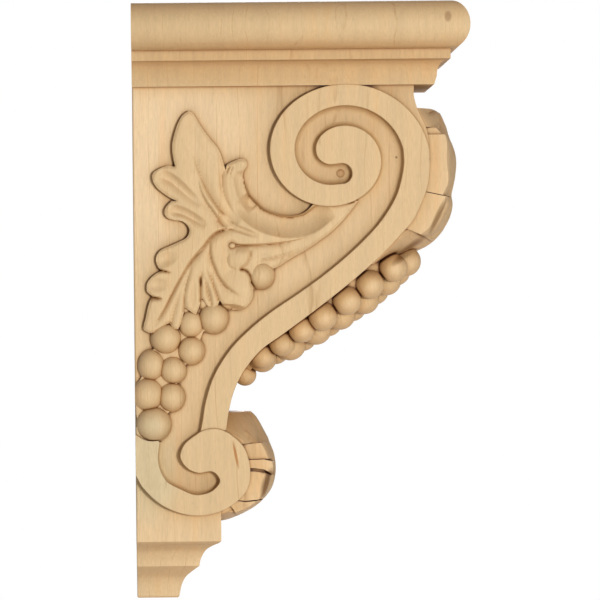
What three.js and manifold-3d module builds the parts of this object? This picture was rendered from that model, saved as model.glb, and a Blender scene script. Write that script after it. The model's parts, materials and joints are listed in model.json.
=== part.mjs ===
// A carved hardwood corbel bracket: an S-shaped scroll with a large volute under a moulded cap,
// a small volute above a coved foot, a vine leaf and a bunch of grapes on each side, and a second
// leaf, bunch and lower leaf down the front. It is one solid block, flat at the back and on top.
//
// Millimetres. X runs across the width, the wall is the plane Y = 0 with the front towards -Y, and
// Z is up from the middle of the back. Outlines are drawn in the side view as [depth, z] points:
// depth is the distance from the wall.

import * as THREE from 'three';
import { mergeVertices } from 'three/addons/utils/BufferGeometryUtils.js';
import Module from 'manifold-3d';

const wasm = await Module();
wasm.setup();

// Driving dimensions.
const height = 356;
const topZ = height / 2;
const footZ = -height / 2;
const capDepth = 201.5;
const capHalf = 85.5;
const groundHalf = 57.5;
const bandHalf = 65;
const discHalf = 66;
const buried = 5;
const sideCell = 8.5;
const frontCell = 9;
const bunchCell = 16;

// Cap moulding: a bull nose over a fillet and a cove, mitred round the front and both sides.
const noseHeight = 28.4;
const noseSwell = 11.4;
const filletHeight = 6;
const coveDepth = 8;
const coveHeight = 10;
const lipHeight = 5;
const lipLean = 1.5;
const capUnderZ = topZ - noseHeight - filletHeight - coveHeight - lipHeight;

// Foot: a flat band over two coves that step in on the front and both sides.
const footDepth = 49.6;
const footCoveZ = -139;

// The big volute: its outer edge is a spiral that grows by these radii at each quarter turn,
// drawn a little flatter than it is wide, and its hollow follows a second spiral inside it.
const volute = {
  eye: [121, 87],
  flatness: 0.93,
  outerRadii: [8.5, 12.5, 18.3, 26, 32.8, 40, 45.2, 55.5, 65],
  outerStart: -90,
  innerRadii: [14, 18.8, 25, 31.2, 40, 49],
  innerStart: -180,
};
const hollowEnd = { centre: [123.8, 75.8], radius: 6.1 };

// The two edges of the raised band where it runs from the big volute to the small one.
const outerSweep = [
  [175, 68.5], [171, 57.5], [166, 47.5], [159, 39.5], [147, 27], [128.5, 11], [104.5, -7.5],
  [86.5, -20.5], [74.5, -29], [64, -41.5], [58, -53.5], [55, -64.5], [53, -77],
];
const innerSweep = [
  [160, 76], [156, 62], [147, 47.5], [135, 34.5], [116.5, 18.5], [98.5, 5.5], [80.5, -6.5],
  [68.5, -16], [56.5, -28], [46, -44.5], [41, -59.5], [39, -71], [37.5, -79],
];

// The small volute: a disc whose outline runs on under the last grape to the wall.
const discOuter = [
  [37.5, -77.5], [42, -76], [49, -76], [56, -79.5], [63.5, -87], [67, -98.5], [66, -110.5],
  [59.5, -119], [49.5, -125], [37.5, -127.5], [25.5, -126], [13.5, -120.5], [3.5, -111], [0, -104],
];
const discInner = [
  [13, -84], [12.5, -95], [16.5, -106], [26.5, -112], [34.5, -115], [44, -113], [49, -107],
  [45, -101.5], [36, -102], [29.5, -99], [25.5, -92.5], [28, -85], [37.5, -77.5],
];

// The line down the middle of the front, from under the cap to the foot.
const frontTop = [[167.5, 128.6], [167.5, 122], [170, 113], [174.5, 103], [176.3, 93], [176.5, 82]];
const frontDisc = [[56, -79.5], [63.5, -87], [67, -98.5], [66, -110.5], [59.5, -119], [49.6, -125]];

// Grapes on each side: [depth, z, radius].
const sideGrapes = [
  [9, -73, 10], [7.5, -53.5, 9], [20, -57, 8.5], [9.5, -37, 8.5], [21.5, -40, 8.5], [17.5, -21.5, 8.5],
  [33, -27.5, 8.5], [33.5, -12.5, 8], [47.5, -11.5, 8.5], [77, 15.5, 7.5],
];

// The side leaf: its outline, then its folds, each a line of [depth, z] points with a half width
// and a rise that is negative for a valley.
const leafBack = [
  [32.5, 114], [26.5, 107.5], [22.5, 93.5], [23.5, 82.5], [12.5, 78.5], [10.5, 72.5], [16.5, 65.5],
  [22, 61], [17.5, 53], [23, 49], [30, 46.5], [32, 40], [24.5, 35.5], [12.5, 27.5], [14.5, 19],
  [6.5, 10.5], [9.5, 4.5], [6, -9], [4.5, -16], [12.5, -17], [20, -12.5], [23.5, -16], [28.5, -5.5],
  [35, -7.5], [40, 0], [46, -5], [50, 1], [59.5, -5.5], [68.5, -0.5], [70, 7], [75, 24],
];
const leafStemUnder = [[87, 22], [102, 30.5], [117, 41], [133.5, 57]];
const leafStemOver = [[105.5, 58], [99, 52], [87, 51.5], [73, 59], [66.5, 69], [65, 76], [67, 82], [62, 85]];
const leafFront = [[53.5, 82], [50, 91.5], [41.5, 102.5]];
const leafRise = 7.6;
const leafEdgeDrop = 1.8;
const leafEdgeWidth = 5;
const leafFolds = [
  { line: [[74, 38.5], [54, 57.5], [42.5, 75.5], [35, 96]], half: 6, rise: -1.8 },
  { line: [[56, 42.5], [42, 36], [30, 18.5], [17.5, -4], [10, -15]], half: 5, rise: -2.6 },
  { line: [[45, 33], [46, 21.5], [56.5, 6.5], [63, 4]], half: 4.5, rise: -2 },
  { line: [[24.5, 60.5], [36, 56], [48, 44.5]], half: 4, rise: -1.4 },
  { line: [[61, 80], [62, 66], [72, 52]], half: 6, rise: -2.4 },
  { line: [[85, 45], [105, 47]], half: 8, rise: -2.6 },
  { line: [[60, 34.5], [98, 35]], half: 3.5, rise: -2.4 },
  { line: [[56, 20], [64, 10]], half: 8, rise: 1.2 },
];

// Front ornament, laid out along the front line (mm from its top) and across (mm from the middle).
const upperLeaf = {
  half: [
    [12, 0], [12, 30], [13, 44], [24, 46], [27, 36], [31, 38], [33, 50], [64, 50.5], [67, 40],
    [70, 48], [90, 44], [93, 30], [96, 33], [107, 28], [116, 12], [119, 0],
  ],
  middle: 17.5,
  edge: 10,
  folds: [
    { line: [[14, 0], [117, 0]], half: 5, rise: -2.2 },
    { line: [[30, 2], [20, 40]], half: 5, rise: -1.8 },
    { line: [[36, 2], [50, 46]], half: 6, rise: -2.2 },
    { line: [[58, 2], [82, 42]], half: 6, rise: -2 },
    { line: [[80, 2], [104, 26]], half: 5, rise: -1.6 },
  ],
};
const lowerLeaf = {
  half: [
    [247, 0], [247, 38], [268, 42], [271, 30], [275, 34], [284, 38], [290, 42], [306, 38], [309, 26],
    [314, 24], [317, 0],
  ],
  middle: 14,
  edge: 8,
  folds: [
    { line: [[249, 0], [316, 0]], half: 4.5, rise: -1.8 },
    { line: [[300, 2], [262, 34]], half: 5, rise: -1.8 },
    { line: [[305, 2], [298, 36]], half: 5, rise: -1.8 },
  ],
};
const bunchHalf = [
  [96, 0], [96, 34], [128, 38], [159, 36], [180, 28], [200, 18], [218, 10], [227, 0],
];
const bunchCore = 8;
const grapeRadius = 7.4;
const bunchEnd = 224;
const bunchColumns = [
  { across: 33, from: 112.5, to: 205, pitch: 15.6, lift: 8 },
  { across: 17, from: 104, to: 188, pitch: 16.4, lift: 11 },
  { across: 0, from: 112.5, to: 224, pitch: 15.9, lift: 12 },
];

const hardwood = new THREE.MeshStandardMaterial({ color: 0xe2c08f, roughness: 0.55, metalness: 0 });

// Turns a three.js geometry into a solid that can be joined and cut.
function solidOf(geometry) {
  const bare = geometry.clone();
  bare.deleteAttribute('normal');
  bare.deleteAttribute('uv');
  const merged = mergeVertices(bare, 1e-4);
  const vertProperties = new Float32Array(merged.attributes.position.array);
  const triVerts = new Uint32Array(merged.index.array);
  return new wasm.Manifold(new wasm.Mesh({ numProp: 3, vertProperties, triVerts }));
}

function geometryOf(solid) {
  const mesh = solid.getMesh();
  const geometry = new THREE.BufferGeometry();
  geometry.setAttribute('position', new THREE.BufferAttribute(mesh.vertProperties, 3));
  geometry.setIndex(new THREE.BufferAttribute(mesh.triVerts, 1));
  return geometry;
}

// The same solid on the other side of the middle plane.
function mirrored(geometry) {
  const copy = geometry.clone().scale(-1, 1, 1);
  const turned = copy.index ? copy : mergeVertices(copy);
  const index = turned.index;
  for (let i = 0; i < index.count; i += 3) {
    const first = index.getX(i);
    index.setX(i, index.getX(i + 1));
    index.setX(i + 1, first);
  }
  return turned;
}

function bothSides(geometry) {
  return solidOf(geometry).add(solidOf(mirrored(geometry)));
}

const toVector = ([a, b]) => new THREE.Vector2(a, b);

// A smooth curve through [a, b] points.
function smooth(points, steps) {
  return new THREE.SplineCurve(points.map(toVector)).getPoints(steps);
}

// The value of a list at a fractional place, eased through its neighbours.
function eased(values, place) {
  const at = (i) => values[Math.min(Math.max(i, 0), values.length - 1)];
  const i = Math.floor(place);
  const t = place - i;
  const [a, b, c, d] = [at(i - 1), at(i), at(i + 1), at(i + 2)];
  return b + 0.5 * t * (c - a + t * (2 * a - 5 * b + 4 * c - d + t * (3 * (b - c) + d - a)));
}

// A point on a spiral of the big volute, turning from the wall side up over the top.
function volutePoint(radii, startDegrees, degrees) {
  const radius = eased(radii, (degrees - startDegrees) / 90);
  const angle = THREE.MathUtils.degToRad(degrees);
  const [eyeDepth, eyeZ] = volute.eye;
  return new THREE.Vector2(
    eyeDepth - radius * Math.cos(angle),
    eyeZ + volute.flatness * radius * Math.sin(angle),
  );
}

function spiral(radii, startDegrees, from, to, step) {
  const count = Math.round(Math.abs(to - from) / step);
  return Array.from({ length: count + 1 }, (_, i) =>
    volutePoint(radii, startDegrees, from + ((to - from) * i) / count));
}

function arc([centreA, centreB], radius, from, to, steps) {
  return Array.from({ length: steps + 1 }, (_, i) => {
    const angle = THREE.MathUtils.degToRad(from + ((to - from) * i) / steps);
    return new THREE.Vector2(centreA + radius * Math.cos(angle), centreB + radius * Math.sin(angle));
  });
}

// Side view to world: depth becomes -Y, and the extrusion runs along X from one value to another.
const sideToWorld = new THREE.Matrix4().makeBasis(
  new THREE.Vector3(0, -1, 0), new THREE.Vector3(0, 0, 1), new THREE.Vector3(-1, 0, 0));

function sideExtrusion(outline, fromX, toX) {
  const geometry = new THREE.ExtrudeGeometry(new THREE.Shape(outline), {
    depth: toX - fromX,
    bevelEnabled: false,
  });
  return geometry.applyMatrix4(sideToWorld).translate(toX, 0, 0);
}

// A moulding mitred round three sides: the front profile cut by the same profile on both sides.
// The profile gives [inset, z] points from its widest line.
function mitred(profile, frontDepth, sideHalf) {
  const wall = [profile[profile.length - 1], profile[0]];
  const frontOutline = profile.map(([inset, z]) => new THREE.Vector2(frontDepth - inset, z));
  frontOutline.push(new THREE.Vector2(0, wall[0][1]), new THREE.Vector2(0, wall[1][1]));
  const front = solidOf(sideExtrusion(frontOutline, -sideHalf - 1, sideHalf + 1));
  const right = profile.map(([inset, z]) => new THREE.Vector2(sideHalf - inset, z));
  const left = profile.map(([inset, z]) => new THREE.Vector2(inset - sideHalf, z)).reverse();
  const across = new THREE.ExtrudeGeometry(new THREE.Shape([...right, ...left]), {
    depth: frontDepth + 2,
    bevelEnabled: false,
  });
  across.rotateX(Math.PI / 2).translate(0, 1, 0);
  return front.intersect(solidOf(across));
}

function capSolid() {
  const noseMiddle = topZ - noseHeight / 2;
  const profile = new THREE.Path();
  profile.moveTo(noseSwell, topZ);
  profile.absellipse(noseSwell, noseMiddle, noseSwell, noseHeight / 2, Math.PI / 2, 1.5 * Math.PI);
  profile.lineTo(noseSwell, topZ - noseHeight - filletHeight);
  const coveTop = topZ - noseHeight - filletHeight;
  profile.quadraticCurveTo(
    noseSwell + coveDepth - 0.7, coveTop - coveHeight * 0.55,
    noseSwell + coveDepth, coveTop - coveHeight);
  profile.lineTo(noseSwell + coveDepth + lipLean, capUnderZ);
  const points = profile.getPoints(7).map((p) => [p.x, p.y]);
  return mitred(withoutRepeats(points), capDepth, capHalf);
}

function withoutRepeats(points) {
  return points.filter(([a, b], i) =>
    i === 0 || Math.hypot(a - points[i - 1][0], b - points[i - 1][1]) > 0.05);
}

function footSolid() {
  const profile = new THREE.Path();
  profile.moveTo(0, footCoveZ + 14);
  profile.lineTo(0, footCoveZ);
  profile.quadraticCurveTo(0.5, footCoveZ - 4.5, 5.5, footCoveZ - 5.2);
  profile.quadraticCurveTo(12, footCoveZ - 8, 13.4, footCoveZ - 16);
  profile.lineTo(15, footCoveZ - 19.5);
  profile.quadraticCurveTo(24, footCoveZ - 24, 26, footCoveZ - 36);
  profile.lineTo(27.5, footZ);
  const points = profile.getPoints(4).map((p) => [p.x, p.y]);
  return mitred(withoutRepeats(points), footDepth, groundHalf);
}

// The line down the front, with a point and an outward normal at any length along it.
const frontLine = new THREE.CatmullRomCurve3(
  [...frontTop, ...outerSweep, ...frontDisc].map(([d, z]) => new THREE.Vector3(d, z, 0)),
  false, 'centripetal');
frontLine.arcLengthDivisions = 600;
const frontLength = frontLine.getLength();

function onFront(along, across, out) {
  const u = Math.min(Math.max(along / frontLength, 0), 1);
  const point = frontLine.getPointAt(u);
  const tangent = frontLine.getTangentAt(u);
  const depth = point.x - tangent.y * out;
  const z = point.y + tangent.x * out;
  return new THREE.Vector3(across, -depth, z);
}

function blockSolid() {
  const front = frontLine.getSpacedPoints(48).map((p) => new THREE.Vector2(p.x, p.y));
  const outline = [
    new THREE.Vector2(0, capUnderZ + 2),
    new THREE.Vector2(frontTop[0][0], capUnderZ + 2),
    ...front,
    new THREE.Vector2(footDepth, footCoveZ),
    new THREE.Vector2(0, footCoveZ),
  ];
  return solidOf(sideExtrusion(outline, -groundHalf, groundHalf));
}

function bandOutline() {
  const outer = smooth([[176.5, 82], ...outerSweep], 32).reverse();
  return [
    ...outer,
    ...spiral(volute.outerRadii, volute.outerStart, 537, -72, 14),
    ...arc(hollowEnd.centre, hollowEnd.radius, 92, -92, 7),
    ...spiral(volute.innerRadii, volute.innerStart, -82, 178, 14),
    ...smooth([[161, 84], ...innerSweep], 30).slice(1),
  ];
}

function discOutline() {
  return [...smooth(discOuter, 28), new THREE.Vector2(0, -84), ...smooth(discInner, 28).slice(0, -1)];
}

// A grape: a faceted ball whose corners stand a little outside its true radius.
function ball(radius, sides) {
  return new THREE.SphereGeometry(radius * 1.04, sides, sides - 3);
}

function sideGrapesSolid() {
  let bunch = null;
  for (const [depth, z, radius] of sideGrapes) {
    const shape = ball(radius, 9).rotateZ(Math.PI / 2).scale(0.9, 1, 1).translate(groundHalf + 0.5, -depth, z);
    const pair = bothSides(shape);
    bunch = bunch ? bunch.add(pair) : pair;
  }
  return bunch;
}

// Distance from a point to a line of points, and how far along the line the nearest place is.
function nearest(line, a, b) {
  let best = { distance: Infinity, share: 0 };
  const count = line.length - 1;
  for (let i = 0; i < count; i++) {
    const [a0, b0] = line[i];
    const [a1, b1] = line[i + 1];
    const run = (a1 - a0) ** 2 + (b1 - b0) ** 2;
    const t = Math.min(Math.max(((a - a0) * (a1 - a0) + (b - b0) * (b1 - b0)) / run, 0), 1);
    const distance = Math.hypot(a - a0 - t * (a1 - a0), b - b0 - t * (b1 - b0));
    if (distance < best.distance) best = { distance, share: (i + t) / count };
  }
  return best;
}

// What a set of folds adds to the height at a point: each narrows and fades towards its end.
function foldRise(folds, a, b) {
  return folds.reduce((rise, fold) => {
    const { distance, share } = nearest(fold.line, a, b);
    const half = fold.half * (1 - 0.5 * share);
    const bell = Math.max(0, 1 - (distance / half) ** 2);
    return rise + fold.rise * bell * (1 - 0.4 * share);
  }, 0);
}

const leafOutline = [...leafBack, ...leafStemUnder, ...leafStemOver, ...leafFront];

function leafHeight(depth, z) {
  const rim = nearest([...leafOutline, leafOutline[0]], depth, z).distance;
  const rounding = leafEdgeDrop * Math.max(0, 1 - rim / leafEdgeWidth) ** 2;
  return leafRise - rounding + foldRise(leafFolds, depth, z);
}

// A slab whose top face is a grid raised by a height rule: the rule gets the grid's own [a, b].
function reliefSlab([a0, b0], [a1, b1], cell, base, rule) {
  const across = Math.ceil((a1 - a0) / cell);
  const along = Math.ceil((b1 - b0) / cell);
  const slab = new THREE.BoxGeometry(a1 - a0, b1 - b0, 1, across, along, 1);
  slab.translate((a0 + a1) / 2, (b0 + b1) / 2, 0);
  const position = slab.attributes.position;
  for (let i = 0; i < position.count; i++) {
    const top = position.getZ(i) > 0;
    position.setZ(i, top ? rule(position.getX(i), position.getY(i)) : base);
  }
  return slab;
}

function flatExtrusion(outline, from, to) {
  const shape = new THREE.Shape(outline.map(toVector));
  return new THREE.ExtrudeGeometry(shape, { depth: to - from, bevelEnabled: false }).translate(0, 0, from);
}

function sideLeafSolid() {
  const slab = reliefSlab([0, -22], [140, 120], sideCell, -buried, leafHeight);
  const leaf = solidOf(slab).intersect(solidOf(flatExtrusion(leafOutline, -buried - 1, 20)));
  const flat = geometryOf(leaf);
  flat.applyMatrix4(sideToWorld);
  flat.translate(-groundHalf, 0, 0);
  return solidOf(flat).add(solidOf(mirrored(flat)));
}

// An ornament drawn flat as [along, across] and then bent over the front.
function frontRelief(halfOutline, cell, rule) {
  const other = halfOutline.slice(1, -1).map(([along, across]) => [along, -across]).reverse();
  const outline = [...halfOutline, ...other];
  const lengths = halfOutline.map(([along]) => along);
  const widest = Math.max(...halfOutline.map(([, across]) => across));
  const [from, to] = [Math.min(...lengths) - 1, Math.max(...lengths) + 1];
  const slab = reliefSlab([from, -widest - 1], [to, widest + 1], cell, -buried, rule);
  const flat = solidOf(slab).intersect(solidOf(flatExtrusion(outline, -buried - 1, 30)));
  const bent = geometryOf(flat);
  const position = bent.attributes.position;
  for (let i = 0; i < position.count; i++) {
    const place = onFront(position.getX(i), position.getY(i), position.getZ(i));
    position.setXYZ(i, place.x, place.y, place.z);
  }
  return solidOf(bent);
}

// A leaf on the front: crowned from edge to edge, with valleys along its veins on both halves.
function frontLeaf(leaf) {
  const widest = Math.max(...leaf.half.map(([, across]) => across));
  const rule = (along, across) => {
    const share = Math.min(Math.abs(across) / widest, 1);
    const crown = leaf.edge + (leaf.middle - leaf.edge) * Math.cos(share * Math.PI / 2);
    return crown + foldRise(leaf.folds, along, Math.abs(across));
  };
  return frontRelief(leaf.half, frontCell, rule);
}

function frontGrapesSolid() {
  const core = (along, across) => {
    const taper = 1 - 0.65 * Math.max(0, (along - 160) / (bunchEnd - 160));
    return (bunchCore + 3 * Math.cos(across / 26)) * taper;
  };
  let bunch = frontRelief(bunchHalf, bunchCell, core);
  for (const column of bunchColumns) {
    const count = Math.floor((column.to - column.from) / column.pitch + 0.5) + 1;
    for (let i = 0; i < count; i++) {
      const along = column.from + i * column.pitch;
      const share = Math.max(0, (along - 160) / (bunchEnd - 160));
      const across = column.across * (1 - 0.75 * share);
      const lift = column.lift * (1 - 0.7 * share ** 1.5);
      const centre = onFront(along, across, lift);
      const grape = ball(grapeRadius, 8).rotateX(0.9).translate(centre.x, centre.y, centre.z);
      bunch = bunch.add(across > 1 ? bothSides(grape) : solidOf(grape));
    }
  }
  return bunch;
}

function corbelGeometry() {
  const band = solidOf(sideExtrusion(bandOutline(), -bandHalf, bandHalf));
  const disc = solidOf(sideExtrusion(discOutline(), -discHalf, discHalf));
  const middle = solidOf(sideExtrusion(
    [[-10, -200], [260, -200], [260, 200], [-10, 200]].map(toVector), -groundHalf + 2, groundHalf - 2));
  let corbel = blockSolid();
  for (const raised of [band, disc]) corbel = corbel.add(raised.subtract(middle));
  const additions = [
    capSolid(),
    footSolid(),
    sideLeafSolid(),
    sideGrapesSolid(),
    frontLeaf(upperLeaf),
    frontLeaf(lowerLeaf),
    frontGrapesSolid(),
  ];
  for (const addition of additions) corbel = corbel.add(addition);
  return geometryOf(trimmedAtWall(corbel));
}

// Nothing passes the wall: what overlaps the plane Y = 0 is cut off flat.
function trimmedAtWall(solid) {
  const beyond = new THREE.BoxGeometry(400, 60, 500).translate(0, 30, 0);
  return solid.subtract(solidOf(beyond));
}

const bracket = new THREE.Group();
const corbel = new THREE.Mesh(corbelGeometry(), hardwood);
corbel.name = 'corbel';
bracket.add(corbel);

export default bracket;
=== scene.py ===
"""A carved hardwood corbel bracket: moulded cap, S-shaped scroll, vine leaves, grapes and coved foot.

The bracket is one block of glued-up maple. Each class below carves one feature of it as a closed solid,
in millimetres, and the last step joins them into one mesh in metres. A side feature is drawn as
(depth, height, out): depth runs from the inner line of the eased edge at the wall, height from
mid-height and out from the middle plane. A front feature is drawn as (along, across, out) and bent over
the line down the front.
"""

import json
import logging
import math
from collections.abc import Callable, Iterable, Sequence
from dataclasses import dataclass, field
from enum import Enum
from functools import partial

import bmesh
import bpy
import numpy as np
from mathutils import Matrix, Vector

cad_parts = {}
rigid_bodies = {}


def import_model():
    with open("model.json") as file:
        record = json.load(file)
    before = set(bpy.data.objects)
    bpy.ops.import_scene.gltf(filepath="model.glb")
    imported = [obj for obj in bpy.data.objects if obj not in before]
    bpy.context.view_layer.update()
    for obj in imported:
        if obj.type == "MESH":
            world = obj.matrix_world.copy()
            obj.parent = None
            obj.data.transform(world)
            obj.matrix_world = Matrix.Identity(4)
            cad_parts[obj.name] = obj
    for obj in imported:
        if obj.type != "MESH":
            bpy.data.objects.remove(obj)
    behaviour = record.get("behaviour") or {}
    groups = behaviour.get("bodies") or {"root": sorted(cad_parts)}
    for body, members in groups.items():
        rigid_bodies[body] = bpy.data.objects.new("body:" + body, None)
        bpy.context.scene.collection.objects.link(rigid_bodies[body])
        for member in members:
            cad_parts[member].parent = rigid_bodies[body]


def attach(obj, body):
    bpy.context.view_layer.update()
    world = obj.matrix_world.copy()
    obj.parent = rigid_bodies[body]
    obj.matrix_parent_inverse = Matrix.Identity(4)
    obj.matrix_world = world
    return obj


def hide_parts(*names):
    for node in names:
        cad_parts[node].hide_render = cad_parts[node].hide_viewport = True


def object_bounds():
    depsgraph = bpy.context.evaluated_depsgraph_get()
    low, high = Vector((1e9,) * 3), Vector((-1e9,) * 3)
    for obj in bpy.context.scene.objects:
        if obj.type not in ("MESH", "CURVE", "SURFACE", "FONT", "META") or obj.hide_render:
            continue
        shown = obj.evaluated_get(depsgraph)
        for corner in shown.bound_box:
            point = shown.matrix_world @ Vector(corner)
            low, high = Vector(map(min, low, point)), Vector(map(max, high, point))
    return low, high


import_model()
CAD_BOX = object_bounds()

log = logging.getLogger("corbel")

Point = tuple[float, float]
Place = tuple[float, float, float]
Points = tuple[Point, ...]
Grapes = tuple[tuple[float, float, float, float], ...]
Solid = bmesh.types.BMesh
Tree = bpy.types.NodeTree
Node = bpy.types.Node
Socket = bpy.types.NodeSocket
HeightRule = Callable[[np.ndarray, np.ndarray], np.ndarray]

METRES_PER_MM = 0.001

# The radius that the edges on the wall are eased to.
WALL_ARRIS = 1.2

# How far the flat ground of each side stands from the middle plane.
GROUND = 57.5

# How far a side feature reaches below the ground, so that the two join without a seam.
SUNK = 3.0

# How far a front feature, or a shape that trims another, reaches below the surface.
BURIED = 5.0

# Points nearer than this are one point.
TOUCHING = 0.004

# The length, in metres, of a patch of colour that runs right through the wood.
RUNS_THROUGH = 1000.0

# The outer line of the S, from the front of the big volute down to the small one.
SWEEP: Points = (
    (176.5, 82), (175, 68.5), (171, 57.5), (166, 47.5), (159, 39.5), (147, 27), (128.5, 11), (104.5, -7.5),
    (86.5, -20.5), (74.5, -29), (64, -41.5), (58, -53.5), (55, -64.5), (53, -77),
)

# The front of the small volute, from there down to its underside.
SMALL_TURN: Points = ((56, -79.5), (63.5, -87), (67, -98.5), (66, -110.5), (59.5, -119))

# Side-view axes to the frame's own: out is +X, depth is -Y and height is +Z.
SIDE_FRAME = Matrix(((0, 0, 1, 0), (-1, 0, 0, -WALL_ARRIS), (0, 1, 0, 0), (0, 0, 0, 1)))


class Join(Enum):
    """How one solid is combined with another."""

    UNION = "UNION"
    INTERSECT = "INTERSECT"
    DIFFERENCE = "DIFFERENCE"


class Blend(Enum):
    """How a colour is laid over another."""

    COVER = "MIX"
    DARKEN = "MULTIPLY"


class Gouged(Enum):
    """Which flanks of a crease are gouged, the left and the right."""

    NONE = (False, False)
    LEFT = (True, False)
    RIGHT = (False, True)
    BOTH = (True, True)


# Curves


def spline(points: Sequence[Point], step: float) -> np.ndarray:
    """Draws a smooth curve through points.

    Args:
        points: The points that the curve passes through.
        step: The greatest spacing of the points returned, in mm.

    Returns:
        The curve as an array of points.
    """
    knots = np.array(points, dtype=float)
    padded = np.vstack([2 * knots[0] - knots[1], knots, 2 * knots[-1] - knots[-2]])
    pieces = []
    for before, start, end, after in zip(padded, padded[1:], padded[2:], padded[3:]):
        lead, span, trail = (math.sqrt(math.dist(*pair))
                             for pair in ((before, start), (start, end), (end, after)))
        leave = (start - before) / lead - (end - before) / (lead + span) + (end - start) / span
        arrive = (end - start) / span - (after - start) / (span + trail) + (after - end) / trail
        count = max(1, math.ceil(math.dist(start, end) / step))
        t = (np.arange(count) / count)[:, None]
        pieces.append((2 * t**3 - 3 * t**2 + 1) * start + (t**3 - 2 * t**2 + t) * leave * span
                      + (3 * t**2 - 2 * t**3) * end + (t**3 - t**2) * arrive * span)
    return np.vstack([*pieces, knots[-1:]])


def arc(centre: Point, radius: float, start: float, end: float, steps: int) -> np.ndarray:
    """Draws an arc from one angle to another, in degrees.

    Args:
        centre: What the arc turns about.
        radius: Its radius in mm.
        start: The first angle.
        end: The last angle.
        steps: How many chords it has.

    Returns:
        The arc's points.
    """
    angles = np.radians(np.linspace(start, end, steps + 1))
    return np.column_stack([centre[0] + radius * np.cos(angles), centre[1] + radius * np.sin(angles)])


def eased(values: Sequence[float], place: np.ndarray) -> np.ndarray:
    """Reads a list at fractional places.

    Args:
        values: The list.
        place: The places, where 0 is the first value.

    Returns:
        The values there, eased through their neighbours.
    """
    table = np.array(values, dtype=float)
    whole = np.floor(place).astype(int)
    t = place - whole
    a, b, c, d = (table[np.clip(whole + shift, 0, len(table) - 1)] for shift in (-1, 0, 1, 2))
    return b + 0.5 * t * (c - a + t * (2 * a - 5 * b + 4 * c - d + t * (3 * (b - c) + d - a)))


def read_off(table: Sequence[Point], place: np.ndarray) -> np.ndarray:
    """Reads (place, value) rows at some places, in straight lines between the rows."""
    return np.interp(place, *zip(*table))


def lengths_along(path: np.ndarray) -> np.ndarray:
    """Gives the distance run from a path's start to each of its points."""
    return np.concatenate([[0.0], np.cumsum(np.linalg.norm(np.diff(path, axis=0), axis=1))])


def outward_normals(path: np.ndarray) -> np.ndarray:
    """Gives the way that a path faces.

    Args:
        path: The path's points.

    Returns:
        The unit normal on its left at each point.
    """
    run = np.gradient(path, axis=0)
    run /= np.linalg.norm(run, axis=1)[:, None]
    return np.column_stack([-run[:, 1], run[:, 0]])


# Solids


def faced_out(solid: Solid) -> Solid:
    """Turns a closed solid's faces outwards.

    Args:
        solid: The solid.

    Returns:
        The same solid.
    """
    bmesh.ops.recalc_face_normals(solid, faces=solid.faces)
    if solid.calc_volume(signed=True) < 0:
        bmesh.ops.reverse_faces(solid, faces=solid.faces)
    return solid


def made_by(result: dict, kind: type) -> list:
    """Gives the parts of one kind that an extrude step made."""
    return [item for item in result["geom"] if isinstance(item, kind)]


def round_off(solid: Solid, edges: list[bmesh.types.BMEdge], radius: float, segments: int = 2) -> None:
    """Rounds edges of a solid.

    Args:
        solid: The solid.
        edges: The edges that are rounded.
        radius: The radius they get.
        segments: How many facets the round has.
    """
    bmesh.ops.bevel(solid, geom=edges, offset=radius, offset_type="OFFSET", segments=segments, profile=0.5,
                    affect="EDGES", material=-1, clamp_overlap=True)


def prism(outline: Iterable[Point], low: float, high: float, arris: float = 0.0) -> Solid:
    """Extrudes an outline into a closed solid along its third axis.

    Args:
        outline: The outline's points, in order.
        low: Where the solid starts on the third axis.
        high: Where it ends.
        arris: The radius that its upper rim is eased to, or 0 for a sharp rim.

    Returns:
        The solid.
    """
    solid = bmesh.new()
    floor = solid.faces.new([solid.verts.new((a, b, low)) for a, b in outline])
    result = bmesh.ops.extrude_face_region(solid, geom=[floor])
    bmesh.ops.translate(solid, verts=made_by(result, bmesh.types.BMVert), vec=(0, 0, high - low))
    if arris > 0:
        middle = (low + high) / 2
        round_off(solid, [edge for edge in solid.edges if all(v.co.z > middle for v in edge.verts)], arris)
    return faced_out(solid)


def stacked(rings: Sequence[Sequence[Place]]) -> Solid:
    """Extrudes a closed ring from place to place into a closed solid.

    Args:
        rings: The ring's corners at each place, each of the same length.

    Returns:
        The solid.
    """
    solid = bmesh.new()
    ring = [solid.verts.new(corner) for corner in rings[0]]
    face = solid.faces.new(ring)
    for corners in rings[1:]:
        result = bmesh.ops.extrude_face_region(solid, geom=[face, *face.edges, *face.verts])
        face = next(item for item in made_by(result, bmesh.types.BMFace) if not set(item.verts) & set(ring))
        lid = set(face.verts)
        ring = [next(edge.other_vert(vert) for edge in vert.link_edges if edge.other_vert(vert) in lid)
                for vert in ring]
        for vert, corner in zip(ring, corners):
            vert.co = corner
    return faced_out(solid)


def relief(low: Point, high: Point, cell: float, base: float, rule: HeightRule) -> Solid:
    """Makes a closed slab whose top is carved to a height rule.

    Args:
        low: The slab's least first and second coordinates.
        high: Its greatest ones.
        cell: The spacing of the carved top's grid.
        base: The height of its flat underside.
        rule: Gives the top's height from the first and second coordinates.

    Returns:
        The slab.
    """
    slab = bmesh.new()
    counts = [math.ceil((high[axis] - low[axis]) / cell) for axis in (0, 1)]
    bmesh.ops.create_grid(slab, x_segments=counts[0], y_segments=counts[1], size=1)
    share = (np.array([vert.co[:2] for vert in slab.verts]) + 1) / 2
    first, second = (low[axis] + share[:, axis] * (high[axis] - low[axis]) for axis in (0, 1))
    for vert, place in zip(slab.verts, np.column_stack([first, second, rule(first, second)])):
        vert.co = place
    result = bmesh.ops.extrude_face_region(slab, geom=list(slab.faces))
    for vert in made_by(result, bmesh.types.BMVert):
        vert.co.z = base
    return faced_out(slab)


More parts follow.
